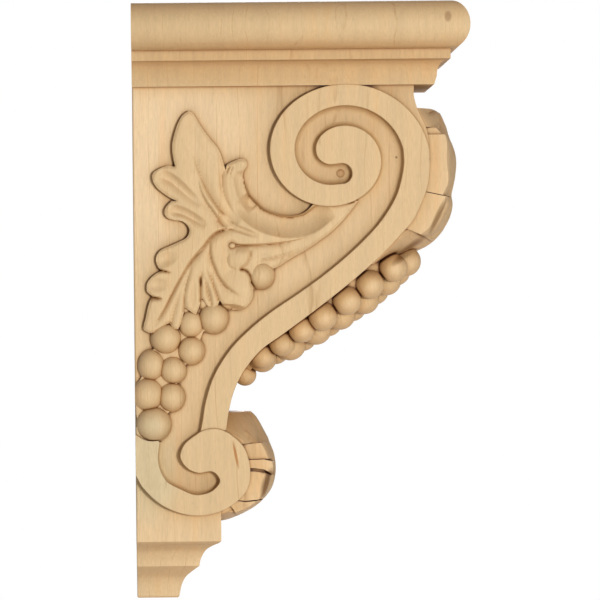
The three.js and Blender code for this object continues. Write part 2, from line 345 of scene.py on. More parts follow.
def ball(centre: Place, radii: Place, turn: float = 0.0) -> Solid:
    """Makes a grape: a ball that may be longer one way.

    Args:
        centre: Its middle.
        radii: Its three radii.
        turn: How far it is turned about its first axis, in degrees.

    Returns:
        The solid.
    """
    solid = bmesh.new()
    place = (Matrix.Translation(centre) @ Matrix.Rotation(math.radians(turn), 4, "X")
             @ Matrix.Diagonal((*radii, 1)))
    bmesh.ops.create_icosphere(solid, subdivisions=4, radius=1, matrix=place)
    return solid


def turned(solid: Solid, matrix: Matrix) -> Solid:
    """Moves a solid by a matrix and keeps its faces pointing out."""
    bmesh.ops.transform(solid, matrix=matrix, verts=solid.verts)
    return faced_out(solid)


def on_both_sides(solids: Iterable[Solid]) -> list[Solid]:
    """Stands side features on both sides of the block.

    Args:
        solids: The features in (depth, height, out).

    Returns:
        Two solids for each, in the frame's axes.
    """
    mirrored = Matrix.Scale(-1, 4, (1, 0, 0)) @ SIDE_FRAME
    pairs = [(solid, solid.copy()) for solid in solids]
    return [turned(side, axes) for pair in pairs for side, axes in zip(pair, (SIDE_FRAME, mirrored))]


def as_object(solid: Solid, name: str, home: bpy.types.Collection) -> bpy.types.Object:
    """Puts a solid into the scene as an object and frees it.

    Args:
        solid: The solid, which is used up.
        name: The object's name.
        home: The collection that it goes into.

    Returns:
        The object.
    """
    mesh = bpy.data.meshes.new(name)
    solid.to_mesh(mesh)
    solid.free()
    thing = bpy.data.objects.new(name, mesh)
    home.objects.link(thing)
    return thing


def combined(first: Solid, others: Iterable[Solid], join: Join) -> Solid:
    """Joins or cuts a solid with others.

    Args:
        first: The solid that is worked on.
        others: What it is joined with or cut by.
        join: Which of the two.

    Returns:
        The new solid. The ones given are used up.
    """
    bench = bpy.data.collections.new("bench")
    tools = bpy.data.collections.new("tools")
    bpy.context.scene.collection.children.link(bench)
    bench.children.link(tools)
    base = as_object(first, "work", bench)
    for other in others:
        as_object(other, "tool", tools)
    modifier = base.modifiers.new("joined", "BOOLEAN")
    modifier.operation = join.value
    modifier.operand_type = "COLLECTION"
    modifier.collection = tools
    modifier.solver = "MANIFOLD"
    result = bmesh.new()
    result.from_object(base, bpy.context.evaluated_depsgraph_get())
    for thing in (base, *tools.objects):
        mesh = thing.data
        bpy.data.objects.remove(thing)
        bpy.data.meshes.remove(mesh)
    bpy.data.collections.remove(tools)
    bpy.data.collections.remove(bench)
    return result


# Carved surfaces


def nearest_on(line: np.ndarray, a: np.ndarray, b: np.ndarray) -> tuple[np.ndarray, ...]:
    """Measures points against a line.

    Args:
        line: The line's points.
        a: The first coordinates of the points measured.
        b: Their second coordinates.

    Returns:
        The distance of each point, its side (1 on the left, -1 on the right) and how far along the line
        its nearest place is, from 0 to 1.
    """
    best = np.full(a.shape, np.inf)
    side = np.ones(a.shape)
    share = np.zeros(a.shape)
    runs = lengths_along(line)
    for i, ((a0, b0), (a1, b1)) in enumerate(zip(line, line[1:])):
        da, db = a1 - a0, b1 - b0
        t = np.clip(((a - a0) * da + (b - b0) * db) / (da * da + db * db), 0, 1)
        away_a, away_b = a - a0 - t * da, b - b0 - t * db
        distance = np.hypot(away_a, away_b)
        nearer = distance < best
        best = np.where(nearer, distance, best)
        side = np.where(nearer, np.sign(da * away_b - db * away_a), side)
        share = np.where(nearer, (runs[i] + t * (runs[i + 1] - runs[i])) / runs[-1], share)
    return best, side, share


@dataclass(frozen=True)
class Crease:
    """A line cut into a carved surface, or raised from it, with a flank on each side.

    A plain flank is steepest at the line and dies away. A gouged one is level at the line and ends in a
    crisp crest.

    Attributes:
        widths: How wide its left and right flanks are, looking along the line.
        rises: How far they rise at the line. A cut has negative rises.
        fade: The shares of its length over which it comes in and dies away.
        taper: The share of its width and rise that is gone at its far end.
        gouged: Which of its flanks are gouged.
        softness: How far from the line the one flank has turned wholly into the other.
    """

    line: Points
    widths: Point
    rises: Point
    fade: Point
    taper: float
    gouged: Gouged = Gouged.NONE
    step: float = 2.0
    softness: float = 0.4

    def height(self, a: np.ndarray, b: np.ndarray) -> np.ndarray:
        """Gives what the crease adds to the height.

        Args:
            a: The first coordinates of the points asked for.
            b: Their second coordinates.

        Returns:
            The rise at each point.
        """
        distance, side, share = nearest_on(spline(self.line, self.step), a, b)
        strength = np.clip(share / self.fade[0], 0, 1) * np.clip((1 - share) / self.fade[1], 0, 1)
        thinning = 1 - self.taper * share
        flanks = []
        for width, rise, gouged in zip(self.widths, self.rises, self.gouged.value):
            t = np.clip(distance / (width * thinning), 0, 1)
            flanks.append(rise * (1 - t * t if gouged else (1 - t) ** 2))
        leftness = np.clip(0.5 + side * distance / (2 * self.softness), 0, 1)
        return strength * (2 - strength) * thinning * (leftness * flanks[0] + (1 - leftness) * flanks[1])


@dataclass(frozen=True)
class Scoop:
    """An oval hollow in a carved surface, or a swelling where its rise is positive.

    Attributes:
        angle: How far its length is turned from the first axis, in degrees.
        roundness: The power that shapes it. A higher one meets the surface more softly.
    """

    centre: Point
    radii: Point
    angle: float
    rise: float
    roundness: float = 1.5

    def height(self, a: np.ndarray, b: np.ndarray) -> np.ndarray:
        """Gives what the scoop adds to the height.

        Args:
            a: The first coordinates of the points asked for.
            b: Their second coordinates.

        Returns:
            The rise at each point.
        """
        angle = math.radians(self.angle)
        da, db = a - self.centre[0], b - self.centre[1]
        u = (da * math.cos(angle) + db * math.sin(angle)) / self.radii[0]
        v = (db * math.cos(angle) - da * math.sin(angle)) / self.radii[1]
        return self.rise * np.clip(1 - u * u - v * v, 0, 1) ** self.roundness


def blended(levels: Sequence[Place], a: np.ndarray, b: np.ndarray, reach: float) -> np.ndarray:
    """Blends the heights of a few places into a smooth surface.

    Args:
        levels: The places, as first coordinate, second coordinate and height.
        a: The first coordinates of the points asked for.
        b: Their second coordinates.
        reach: The distance over which neighbouring places blend.

    Returns:
        The surface's height at the points.
    """
    total = np.zeros(a.shape)
    weights = np.zeros(a.shape)
    for first, second, height in levels:
        weight = 1 / ((a - first) ** 2 + (b - second) ** 2 + reach**2) ** 2
        total += weight * height
        weights += weight
    return total / weights


# The block


@dataclass(frozen=True)
class FrontLine:
    """A line that ornament is bent over. As it stands it is the one down the middle of the front.

    Attributes:
        softening: Over how many points the way it faces is evened out. It is an odd number.
    """

    points: Points = ((167.5, 128.6), (167.5, 122), (170, 113), (174.5, 103), (176.3, 93), *SWEEP,
                      *SMALL_TURN, (49.6, -125))
    step: float = 1.2
    softening: int = 5

    def path(self) -> np.ndarray:
        """Gives the line as closely spaced points."""
        return spline(self.points, self.step)

    def bend(self, solid: Solid) -> Solid:
        """Bends a flat ornament over the front.

        Args:
            solid: The ornament in (along, across, out).

        Returns:
            The same solid in the frame's axes.
        """
        path = self.path()
        normals = np.pad(outward_normals(path), ((self.softening // 2,) * 2, (0, 0)), mode="edge")
        window = np.ones(self.softening) / self.softening
        columns = [*path.T, *(np.convolve(column, window, "valid") for column in normals.T)]
        flat = np.array([vert.co[:] for vert in solid.verts])
        runs = lengths_along(path)
        depth, height, lean, lift = (np.interp(flat[:, 0], runs, column) for column in columns)
        placed = np.column_stack([flat[:, 1], -(WALL_ARRIS + depth + lean * flat[:, 2]),
                                  height + lift * flat[:, 2]])
        for vert, place in zip(solid.verts, placed):
            vert.co = place
        return faced_out(solid)

    def spot(self, along: float, across: float, out: float) -> Vector:
        """Gives the place of one point of a flat ornament once it is bent over the front.

        Args:
            along: How far it is along the line.
            across: How far it is to the side of it.
            out: How far it stands out.

        Returns:
            The point in the frame's axes.
        """
        marker = bmesh.new()
        vert = marker.verts.new((along, across, out))
        self.bend(marker)
        place = vert.co.copy()
        marker.free()
        return place


@dataclass(frozen=True)
class Mouldings:
    """The cap and the foot: profiles that return along both sides, mitred at the front corners.

    Attributes:
        cove_inset: How far the cap's cove steps in at once, where it starts.
        cove_fullness: The power that bends that cove's curve. Below 1 it is fuller.
        foot_cove: The height that the foot's coves are measured from.
        coves: The foot's two coves, as (inset, drop below that height).
        base_inset: How far the foot's base is set in.
        sharp_turn: The angle, in radians, that an edge on the wall turns through to be eased.
    """

    top: float = 178
    cap_depth: float = 201.5
    cap_half: float = 85.5
    nose_height: float = 28.4
    nose_swell: float = 11.4
    nose_steps: int = 28
    fillet_height: float = 6
    cove_depth: float = 8
    cove_inset: float = 0.8
    cove_height: float = 10
    cove_steps: int = 8
    cove_fullness: float = 0.9
    lip_height: float = 5
    lip_lean: float = 1.5
    foot_depth: float = 49.6
    foot_top: float = -125
    foot_cove: float = -140.2
    band_drop: float = 3
    coves: tuple[Points, Points] = (
        ((1.4, 4.2), (5, 5.8), (9.2, 8.6), (11.9, 13), (12.9, 16), (13.2, 18.3)),
        ((17.6, 21.6), (21.2, 24.8), (23.6, 29), (25, 34.4), (25.4, 36.8)),
    )
    cove_spacing: Point = (1.0, 1.2)
    base_inset: float = 26.4
    sharp_turn: float = 1.0

    def returned(self, profile: np.ndarray, depth: float, half: float) -> Solid:
        """Turns a moulding's profile round the front and both sides of the block.

        Args:
            profile: Its (inset, height) points from top to bottom, inset from its widest line.
            depth: How far the widest line stands from the wall.
            half: Half the width across the widest lines.

        Returns:
            The moulding as a solid block.
        """
        rings = []
        for inset, height in profile:
            front, side = -(depth - inset), half - inset
            corners = ((-side, 0), (-side, front), (side, front), (side, 0))
            rings.append([(*corner, height) for corner in corners])
        solid = stacked(rings)
        on_wall = [edge for edge in solid.edges if all(abs(vert.co.y) < TOUCHING for vert in edge.verts)
                   and edge.calc_face_angle(0) > self.sharp_turn]
        round_off(solid, on_wall, WALL_ARRIS)
        return faced_out(solid)

    @property
    def cove_top(self) -> float:
        """The height where the cap's cove starts."""
        return self.top - self.nose_height - self.fillet_height

    @property
    def cap_under(self) -> float:
        """The height of the cap's underside."""
        return self.cove_top - self.cove_height - self.lip_height

    def cap(self) -> Solid:
        """Makes the cap: a bull nose over a fillet, a cove and a lip.

        Returns:
            The cap as a solid block.
        """
        half_nose = self.nose_height / 2
        turn = np.radians(np.linspace(90, 270, self.nose_steps + 1))
        nose = np.column_stack([self.nose_swell * (1 + np.cos(turn)),
                                self.top - half_nose + half_nose * np.sin(turn)])
        turn = np.radians(np.linspace(0, 90, self.cove_steps + 1))
        sweep = (self.cove_depth - self.cove_inset) * np.sin(turn) ** self.cove_fullness
        cove = np.column_stack([self.nose_swell + self.cove_inset + sweep,
                                self.cove_top - self.cove_height * (1 - np.cos(turn))])
        fillet = [(self.nose_swell, self.cove_top)]
        lip = [(self.nose_swell + self.cove_depth + self.lip_lean, self.cap_under)]
        return self.returned(np.vstack([nose, fillet, cove, lip]), self.cap_depth, self.cap_half)

    def foot(self) -> Solid:
        """Makes the foot: a flat band over two coves that step in.

        Returns:
            The foot as a solid block.
        """
        band = [(0, self.foot_top), (0, self.foot_cove - self.band_drop)]
        coves = [spline([(inset, self.foot_cove - drop) for inset, drop in cove], step)
                 for cove, step in zip(self.coves, self.cove_spacing)]
        profile = np.vstack([band, *coves, [(self.base_inset, -self.top)]])
        return self.returned(profile, WALL_ARRIS + self.foot_depth, GROUND)


@dataclass(frozen=True)
class Scroll:
    """The raised S-shaped band with the big volute at its upper end and the small one at its foot.

    Attributes:
        outer_radii: The radius of its outer edge at each quarter turn, from the eye out.
        inner_radii: The same for its inner edge.
        outer_run: The angle of the first outer radius and those where the edge is drawn from and to.
        inner_run: The same for its inner edge.
        turn_coves: The fillet beside the outer edge, as (angle, radius). Past the last there is none.
        hollow_coves: The fillet round the hollow, as (distance, radius).
        sweep_coves: The fillet down the sweep, in the same way.
        disc_coves: The fillet beside the small volute's inner edge, as (share of its length, radius).
    """

    face: float = 65
    disc_face: float = 66
    arrises: Point = (0.55, 0.6)
    eye: Point = (121, 87)
    flatness: float = 0.93
    outer_radii: tuple[float, ...] = (5.4, 12.2, 18.3, 26, 32.8, 40, 45.2, 55.5, 65)
    inner_radii: tuple[float, ...] = (14, 18.8, 25, 31.2, 40, 49)
    outer_run: Place = (-90, 537, -72)
    inner_run: Place = (-180, -82, 176)
    hollow_end: Point = (123.8, 75.8)
    hollow_radius: float = 6.1
    hollow_turn: float = 92
    hollow_steps: int = 14
    button: Point = (123, 76)
    button_radii: Place = (2.4, 2.4, 1.1)
    inner_sweep: Points = (
        (161, 84), (160, 76), (156, 62), (147, 47.5), (135, 34.5), (116.5, 18.5), (98.5, 5.5),
        (80.5, -6.5), (68.5, -16), (56.5, -28), (46, -44.5), (41, -59.5), (39, -71), (37.5, -79),
    )
    disc_start: Points = ((37.5, -77.5), (42, -76), (49, -76))
    disc_under: Points = ((49.5, -125), (37.5, -127.5), (25.5, -126), (13.5, -120.5), (3.5, -111),
                          (-1, -103))
    disc_top: Points = ((-1, -79), (2, -81), (5.6, -82.6), (9.6, -83), (13.2, -82.6))
    disc_inner: Points = (
        (13.2, -83.6), (12.2, -95), (16.5, -106), (26.5, -112), (34.5, -115), (44, -113), (49, -107),
        (45, -101.5), (36, -102), (29.5, -99), (25.5, -92.5), (28, -85), (37.5, -77.5),
    )
    spacing: float = 2.0
    disc_spacing: Point = (1.6, 1.2)
    turn_coves: Points = ((150, 3.2), (180, 3.2), (215, 2.4), (270, 1.4), (360, 1.1), (450, 1), (480, 0.6))
    hollow_coves: Points = ((0, 3), (14, 3.4), (40, 4.4))
    sweep_coves: Points = ((0, 4.2), (40, 2.4))
    sweep_end_cove: float = 2.0
    disc_coves: Points = ((0, 2.2), (0.25, 3.2), (0.4, 3), (0.6, 2.6), (1, 1.6))
    under_cove: float = 0.9
    cove_steps: int = 6
    cove_sunk: float = 0.04
    cove_bite: float = 0.9
    tail: Point = (-79, -112)
    tail_depth: Point = (-6, 17)
    tail_rise: float = 4.4
    degrees_apart: float = 5

    def spiral(self, radii: Sequence[float], run: Place) -> np.ndarray:
        """Draws a spiral of the big volute.

        Args:
            radii: Its radius at each quarter turn.
            run: The angle of the first radius and those of its start and end, in degrees from the wall
                side up over the top.

        Returns:
            Its points.
        """
        first, start, end = run
        degrees = np.linspace(start, end, round(abs(end - start) / self.degrees_apart) + 1)
        radius = eased(radii, (degrees - first) / 90)
        angle = np.radians(degrees)
        return np.column_stack([self.eye[0] - radius * np.cos(angle),
                                self.eye[1] + self.flatness * radius * np.sin(angle)])

    def coved(self, path: np.ndarray, radius: np.ndarray) -> Solid:
        """Makes the hollow fillet where a raised edge meets the ground.

        Args:
            path: The edge, with the ground on its left.
            radius: The fillet's radius at each point of it.

        Returns:
            The fillet in (depth, height, out), sunk a little into the edge and the ground.
        """
        turn = np.radians(np.linspace(180, 270, self.cove_steps + 1))
        rings = []
        for point, normal, size in zip(path, outward_normals(path), radius):
            centre = size - self.cove_sunk
            away = [-self.cove_bite, *(centre + size * np.cos(turn)), size, -self.cove_bite]
            up = [size, *(centre + size * np.sin(turn)), -self.cove_bite, -self.cove_bite]
            rings.append([(*(point + normal * offset), GROUND + rise) for offset, rise in zip(away, up)])
        return stacked(rings)

    def tail_cut(self) -> Solid:
        """Gives what is cut off the small volute's tail, so that it sinks towards the lowest grape.

        Returns:
            The cutting solid in (depth, height, out).
        """
        (start, end), above = self.tail, self.disc_face + BURIED
        corners = ((start, GROUND + self.tail_rise), (end, self.disc_face), (end, above), (start, above))
        return stacked([[(depth, *corner) for corner in corners] for depth in self.tail_depth])

    def build(self) -> list[Solid]:
        """Makes the band, the small volute and the fillets at their feet.

        Returns:
            Their solids on both sides.
        """
        wide, fine = self.disc_spacing
        sweep = spline(self.inner_sweep, self.spacing)
        turns = self.spiral(self.outer_radii, self.outer_run)
        hollow_end = arc(self.hollow_end, self.hollow_radius, self.hollow_turn, -self.hollow_turn,
                         self.hollow_steps)
        hollow = np.vstack([hollow_end, self.spiral(self.inner_radii, self.inner_run), sweep[1:]])
        band = np.vstack([spline(SWEEP, self.spacing)[::-1][:-1], turns, hollow])
        under = spline(self.disc_under, wide)
        inner = spline(self.disc_inner, fine)
        disc = np.vstack([spline((*self.disc_start, *SMALL_TURN, *self.disc_under), wide),
                          spline(self.disc_top, fine)[:-1], inner[:-1]])
        band_solid = prism(band, GROUND - SUNK, self.face, self.arrises[0])
        disc_solid = prism(disc, GROUND - SUNK, self.disc_face, self.arrises[1])

        degrees = np.linspace(*self.outer_run[1:], len(turns))
        beside = degrees < self.turn_coves[-1][0]
        down = lengths_along(hollow)
        sweep_start = down[-1] - lengths_along(sweep)[-1]
        down_sweep = [(sweep_start + run, radius) for run, radius in self.sweep_coves]
        radius = np.concatenate([
            read_off(self.turn_coves, degrees)[beside],
            read_off([*self.hollow_coves, *down_sweep, (down[-1], self.sweep_end_cove)], down)])
        edge = np.vstack([turns[beside], hollow])
        share = lengths_along(inner) / lengths_along(inner)[-1]
        return on_both_sides([
            band_solid,
            combined(disc_solid, [self.tail_cut()], Join.DIFFERENCE),
            self.coved(edge[::-1], radius[::-1]),
            self.coved(inner, read_off(self.disc_coves, share)),
            self.coved(under, np.full(len(under), self.under_cove)),
            ball((*self.button, GROUND), self.button_radii),
        ])


# Leaves and grapes


@dataclass(frozen=True)
class SideLeaf:
    """The vine leaf on each side, which grows from a stem under the big volute.

    Attributes:
        wall_side: Its edge on the wall side, from the top tip down, in runs between its notches.
        stem_under: The stem's edge from the last tip out.
        stem_over: The stem's edge back in, and round the curled lobe.
        front_side: Its edge from there up to the top tip.
        levels: The height of its surface above the ground, as (depth, height, level).
        bead: The middle of the small bead where its veins meet, as (depth, height, out).
    """

    cell: float = 0.62
    reach: float = 7
    edge_drop: float = 1.1
    edge_width: float = 2.2
    wall_side: tuple[Points, ...] = (
        ((32.5, 114), (29.3, 112), (26.5, 107.5), (24, 100.5), (22.6, 93.5), (23, 87), (24.2, 81.2)),
        ((23.6, 80.8), (20, 81.4), (13, 78.8), (10.8, 76.8), (10.8, 72.5), (13.5, 68), (17, 65),
         (21.5, 62), (25, 60.4)),
        ((21.8, 60.4), (19, 57.5), (17.6, 54.5), (18, 51.8), (20, 49.8), (24, 48.9), (28, 48.2),
         (31.2, 45.8), (32.4, 42.6), (30.8, 38.6), (26, 36), (20, 33.4), (15, 31), (12.6, 27.6),
         (12.2, 24.4), (14, 20.2), (15.4, 18.8)),
        ((14.6, 18.6), (10.6, 16), (7.4, 12.4), (6.4, 9), (7, 6), (9, 4.2), (9.6, 3.2)),
        ((9.2, 3), (7.4, -2), (5.8, -9), (4.4, -16), (6, -17.4), (9, -18.4), (14.5, -16.2), (18.6, -13),
         (20, -12.6)),
    )
    tips: tuple[Points, ...] = (
        ((20.4, -13.2), (22.4, -16), (24.4, -16.4), (26.4, -13.6), (28.4, -6.8)),
        ((28.9, -3.4), (31.6, -5), (35.4, -7.4), (37.2, -4.2), (39, 1)),
        ((39.6, 2), (42.6, -2.4), (46, -5), (48.6, -2.6), (49.6, 0)),
        ((50.2, 0.6), (52.4, -2.2), (56, -4.4), (60, -5.4), (64.6, -4), (68, -0.8), (70, 3.4), (70, 7.6),
         (68.6, 11.6)),
    )
    stem_under: Points = (
        (68.8, 11.8), (76, 17), (85, 20.5), (93, 25.5), (102, 30.5), (111, 36.5), (117, 41), (126, 50),
        (133.5, 59.5),
    )
    stem_over: Points = (
        (112, 61), (106.5, 57.5), (104, 55), (100.5, 52.5), (94.5, 51), (87.5, 51.3), (82.5, 52.8),
        (77, 55), (73, 59), (69, 63), (66.5, 68.5), (65, 73.5), (65, 77.5), (67.3, 81.5), (66.5, 84.2),
        (63.5, 85.2), (58.5, 83.6), (55, 81.5), (54.4, 78.4),
    )
    front_side: Points = (
        (54, 79.5), (52, 86.5), (50, 91.5), (45.5, 97), (41.5, 102.5), (38, 108), (35, 113),
    )
    levels: tuple[Place, ...] = (
        (33, 110, 5.6), (28, 96, 6.4), (42, 97, 5.6), (49, 88, 4.6), (40, 80, 6.6), (14, 75, 6.2),
        (28, 72, 6.6), (22, 55, 6.4), (34, 47, 6.8), (52, 54, 6.6), (60, 76, 6.2), (62, 64, 6.6),
        (67, 60, 6.8), (78, 52.5, 7), (100, 52, 6.8), (75, 39, 7.4), (92, 39.5, 7.2), (112, 45, 6.4),
        (127, 54, 4.6), (85, 29, 5.6), (100, 31, 4.6), (84, 21, 3.4), (56, 40, 7.6), (58, 24, 7.4),
        (63, 3, 6.6), (42, 20, 6.8), (34, 0, 6.4), (24, -10, 6.2), (24, 23, 7.2), (9, 10, 6.2),
        (14, 30, 6.4), (7, -13, 5.8),
    )
    creases: tuple[Crease, ...] = (
        # The gouge along the midrib of the top lobe, the one on its wall side and the one at its foot.
        Crease(((60.7, 45.2), (57.1, 47.9), (53, 52.2), (49.4, 56.4), (46.4, 60.9), (43.5, 65.8),
               (41.4, 70), (39.4, 74.8), (37.7, 80.2), (36.2, 86.2), (34.8, 92.8)), (2.6, 8.5),
               (-2.4, -2.4), (0.1, 0.5), 0.2),
        Crease(((54.7, 43.5), (50.5, 47.7), (48.1, 51), (45.8, 54.6), (42.8, 58.6), (40.5, 62.8),
               (38.7, 67.6), (37.9, 72.4), (37.3, 78.4)), (8, 2.6), (-2, -2), (0.1, 0.6), 0.2),
        Crease(((50, 50.5), (54, 47), (58.3, 44.6), (65.4, 41.8), (73.6, 38.6)), (3, 3), (-1.8, -1.8),
               (0.1, 0.3), 0.4, Gouged.BOTH),
        # The gouged lobes on the wall side, each under a crisp ridge.
        Crease(((13, 75.6), (20.2, 72.6), (25, 68.9), (29.7, 64.7), (34.5, 60.4), (39.2, 56.8)),
               (5.4, 6.4), (-2.8, -2.8), (0.3, 0.35), 0.3, Gouged.LEFT),
        Crease(((19.6, 54), (27.2, 52.7), (32, 50.6), (36.7, 47.8), (42, 44.4)), (5, 6), (-2.8, -2.8),
               (0.3, 0.35), 0.3, Gouged.LEFT),
        # The main vein of the lower lobe.
        Crease(((60, 43.4), (56.5, 43.1), (52.3, 42.6), (48, 40.8), (44.4, 37.6), (40.8, 32.8),
               (36.5, 28.1), (32.9, 23.9), (29.2, 18), (25.6, 12), (21.9, 5.4), (18.3, -1.7),
               (14.6, -8.3), (9.7, -14.8)), (5.6, 1.8), (-2.6, -2.6), (0.12, 0.15), 0.5),
        # The side vein that runs round the swelling.
        Crease(((44.4, 37), (44.4, 28), (46.6, 20.6), (49.3, 14.7), (53, 9.5), (57.6, 5.6), (62.6, 2.4)),
               (2.4, 7), (-2.2, -2.2), (0.25, 0.3), 0.2),
        # The flutes down to the tips.
        Crease(((33.5, 21.5), (31, 14.3), (28.9, 4.8), (28.8, -6)), (3, 3.6), (-1.5, -1.5), (0.3, 0.05),
               0.1),
        Crease(((39.2, 19), (38.6, 9.5), (38.6, 0)), (2.8, 2.8), (-1.5, -1.5), (0.3, 0.05), 0.1),
        Crease(((40.6, 15), (42.9, 6.4), (45.2, -3.2)), (2.8, 2.2), (-1, -1), (0.2, 0.1), 0.1),
        Crease(((43, 21), (46, 11.2), (49.6, 0.4)), (3.2, 2.6), (-1.7, -1.7), (0.4, 0.05), 0.1),
        Crease(((20.2, -14), (23, -4), (27, 7), (31, 16)), (3, 3.4), (-1.2, -1.2), (0.05, 0.5), 0.2),
        # The notches on the wall side.
        Crease(((13.5, 19.3), (16.7, 18.7), (21.5, 17.4)), (1.2, 2.6), (-2.6, -2), (0.05, 0.6), 0.3),
        Crease(((8.8, 3.4), (11.7, 2.9), (16, 2.2)), (1, 4.4), (-2.6, -3.2), (0.05, 0.5), 0.4),
        # The curled lobe beside the top one: its valley and the two nicks in its end.
        Crease(((53, 80), (52, 72.3), (53.2, 64), (56.5, 56), (62, 49.4)), (4.2, 5.2), (-1.7, -1.7),
               (0.1, 0.4), 0.3),
        Crease(((57.2, 81), (55.6, 78.6), (54.6, 75.4)), (1.2, 1.2), (-1.2, -1.2), (0.1, 0.3), 0.3),
        Crease(((58.6, 80.6), (57.4, 77.4), (56.4, 73.6)), (1.1, 1.1), (-0.8, -0.8), (0.1, 0.3), 0.3),
        # The dish under it, gouged up to the ridge of the stem.
        Crease(((65, 78), (65, 72), (66.4, 66.4), (69.4, 61), (73, 57)), (1.5, 5.6), (-2.6, -2.6),
               (0.2, 0.3), -0.2, Gouged.RIGHT),
        Crease(((66.6, 65), (72.8, 57.6), (77, 54.2), (82.2, 51.8), (87.6, 50.4), (94.6, 50), (101, 51.4),
               (107, 55.6), (113, 60.4)), (1.5, 12.6), (-5.4, -5.4), (0.2, 0.2), 0, Gouged.RIGHT),
        # The dark groove under the stem, from the bead outwards, and the ridge below it.
        Crease(((59, 33.8), (66.5, 33.4), (75, 33.6), (84, 34.2), (94, 35.6), (106, 38.6)), (1.3, 6),
               (-2.2, -2.2), (0.05, 0.6), 0.4),
        Crease(((72, 24.6), (82, 26), (93, 28.8), (104, 34.4)), (1.6, 2.2), (0.9, 0.9), (0.2, 0.4), 0.3),
        # The folds round the two swellings.
        Crease(((68.6, 32), (68.8, 27), (66.4, 21.8), (62.4, 19)), (2.4, 2.4), (-1.3, -1.3), (0.3, 0.15),
               0.1),
        Crease(((61.6, 18.8), (65.6, 18.4), (68.6, 14.4), (70, 9)), (2, 1.6), (-2.4, -1.4), (0.1, 0.2),
               0.1),
        Crease(((55.4, 29.4), (54.4, 24.4), (56.4, 19.8), (61, 18.6)), (2.2, 2.4), (-0.9, -0.5),
               (0.3, 0.3), 0.1),
    )
    scoops: tuple[Scoop, ...] = (
        Scoop((17.5, 25.4), (8.4, 5), 20, -1.6), Scoop((12.4, 10.2), (7, 4.8), 0, -1.3),
        Scoop((34, 4), (10, 2.6), 84, -0.7), Scoop((43.4, 4), (9, 2.4), 100, -0.7),
        Scoop((38.8, 12.2), (3.8, 1.1), 92, -1.2), Scoop((61.7, 25.6), (9.2, 8.6), 0, 1.8),
        Scoop((60.5, 8.6), (10.6, 11), 0, 1.8), Scoop((57.4, 33.8), (4, 3.6), 0, -1.2),
        Scoop((57.5, -4.4), (9.5, 3), -8, -4), Scoop((44, 91), (16, 3.4), -58, 0.5),
    )
    bead: Place = (57.7, 33.3, 63.6)
    bead_radius: float = 2.1
    spacing: float = 0.9
    least: float = 0.8
    tallest: float = 20

    def outline(self) -> np.ndarray:
        """Gives the leaf's edge, anticlockwise from the top of its wall side."""
        runs = [*self.wall_side, *self.tips, self.stem_under, self.stem_over, self.front_side]
        return np.vstack([spline(run, self.spacing) for run in runs])

    def height(self, a: np.ndarray, b: np.ndarray) -> np.ndarray:
        """Gives the height of the leaf's surface above the ground.

        Args:
            a: The depths of the points asked for.
            b: Their heights.

        Returns:
            The surface's height at each.
        """
        edge = self.outline()
        rim = nearest_on(np.vstack([edge[::2], edge[:1]]), a, b)[0]
        height = blended(self.levels, a, b, self.reach)
        height = height - self.edge_drop * np.clip(1 - rim / self.edge_width, 0, 1) ** 2
        height = height + sum(crease.height(a, b) for crease in self.creases)
        return np.maximum(height + sum(scoop.height(a, b) for scoop in self.scoops), self.least)

    def build(self) -> list[Solid]:
        """Makes the leaf.

        Returns:
            The leaf and its bead on both sides.
        """
        edge = self.outline()
        low, high = edge.min(axis=0) - 1, edge.max(axis=0) + 1
        slab = relief(tuple(low), tuple(high), self.cell, -SUNK, self.height)
        leaf = combined(slab, [prism(edge, -BURIED, self.tallest)], Join.INTERSECT)
        bmesh.ops.translate(leaf, verts=leaf.verts, vec=(0, 0, GROUND))
        return on_both_sides([leaf, ball(self.bead, (self.bead_radius,) * 3)])


@dataclass(frozen=True)
class SideGrapes:
    """The bunch of grapes that hangs from each side leaf down the wall.

    Attributes:
        flatness: How far a grape stands out, as a share of its half width.
        grapes: The grapes, as (depth, height, half width, half height).
        tucked: The small ones half under the leaf, in the same way.
        core: The outline of the wood left between the grapes.
        seat: The outline of the wood under the lowest grape.
    """

    flatness: float = 0.84
    lift: float = 0.3
    grapes: Grapes = (
        (9.8, -72.8, 10.8, 10.8), (6.6, -55, 9.6, 10.4), (20.6, -56.8, 8.4, 9.2), (8.8, -37.6, 8.4, 9.8),
        (21.6, -40.6, 8.4, 8.7), (17.7, -21.6, 9.6, 9.7), (32.6, -29, 8.5, 9), (32.6, -13, 8.3, 9),
        (46.2, -9.6, 9.4, 10), (74.8, 15.6, 8.5, 9),
    )
    tucked: Grapes = (
        (40.6, -0.6, 5.6, 5.4), (54.4, -0.2, 5.4, 5), (29.4, -4.8, 4.8, 4.6), (67.6, 10.4, 4.6, 5),
    )
    core: Points = (
        (1, -76), (12, -78), (17, -68), (23, -62), (25, -56), (24, -49), (27, -44), (29, -38), (36, -33),
        (37, -26), (40, -18), (50, -15), (53, -8), (40, -2), (20, -8), (11, -16), (11, -27), (4, -33),
        (3, -44), (-0.8, -50), (-0.8, -66),
    )
    seat: Points = (
        (-0.8, -74), (-0.8, -80.6), (3, -82.8), (8, -84), (12, -83.6), (17, -79), (18, -74),
    )
    core_height: float = 3.0
    seat_height: float = 3.4
    arris: float = 0.8

    def build(self) -> list[Solid]:
        """Makes the grapes and the wood left between them.

        Returns:
            Their solids on both sides.
        """
        solids = [ball((depth, height, GROUND + self.lift), (wide, tall, wide * self.flatness))
                  for depth, height, wide, tall in (*self.grapes, *self.tucked)]
        for outline, rise in ((self.core, self.core_height), (self.seat, self.seat_height)):
            solids.append(prism(outline, GROUND - SUNK, GROUND + rise, self.arris))
        return on_both_sides(solids)


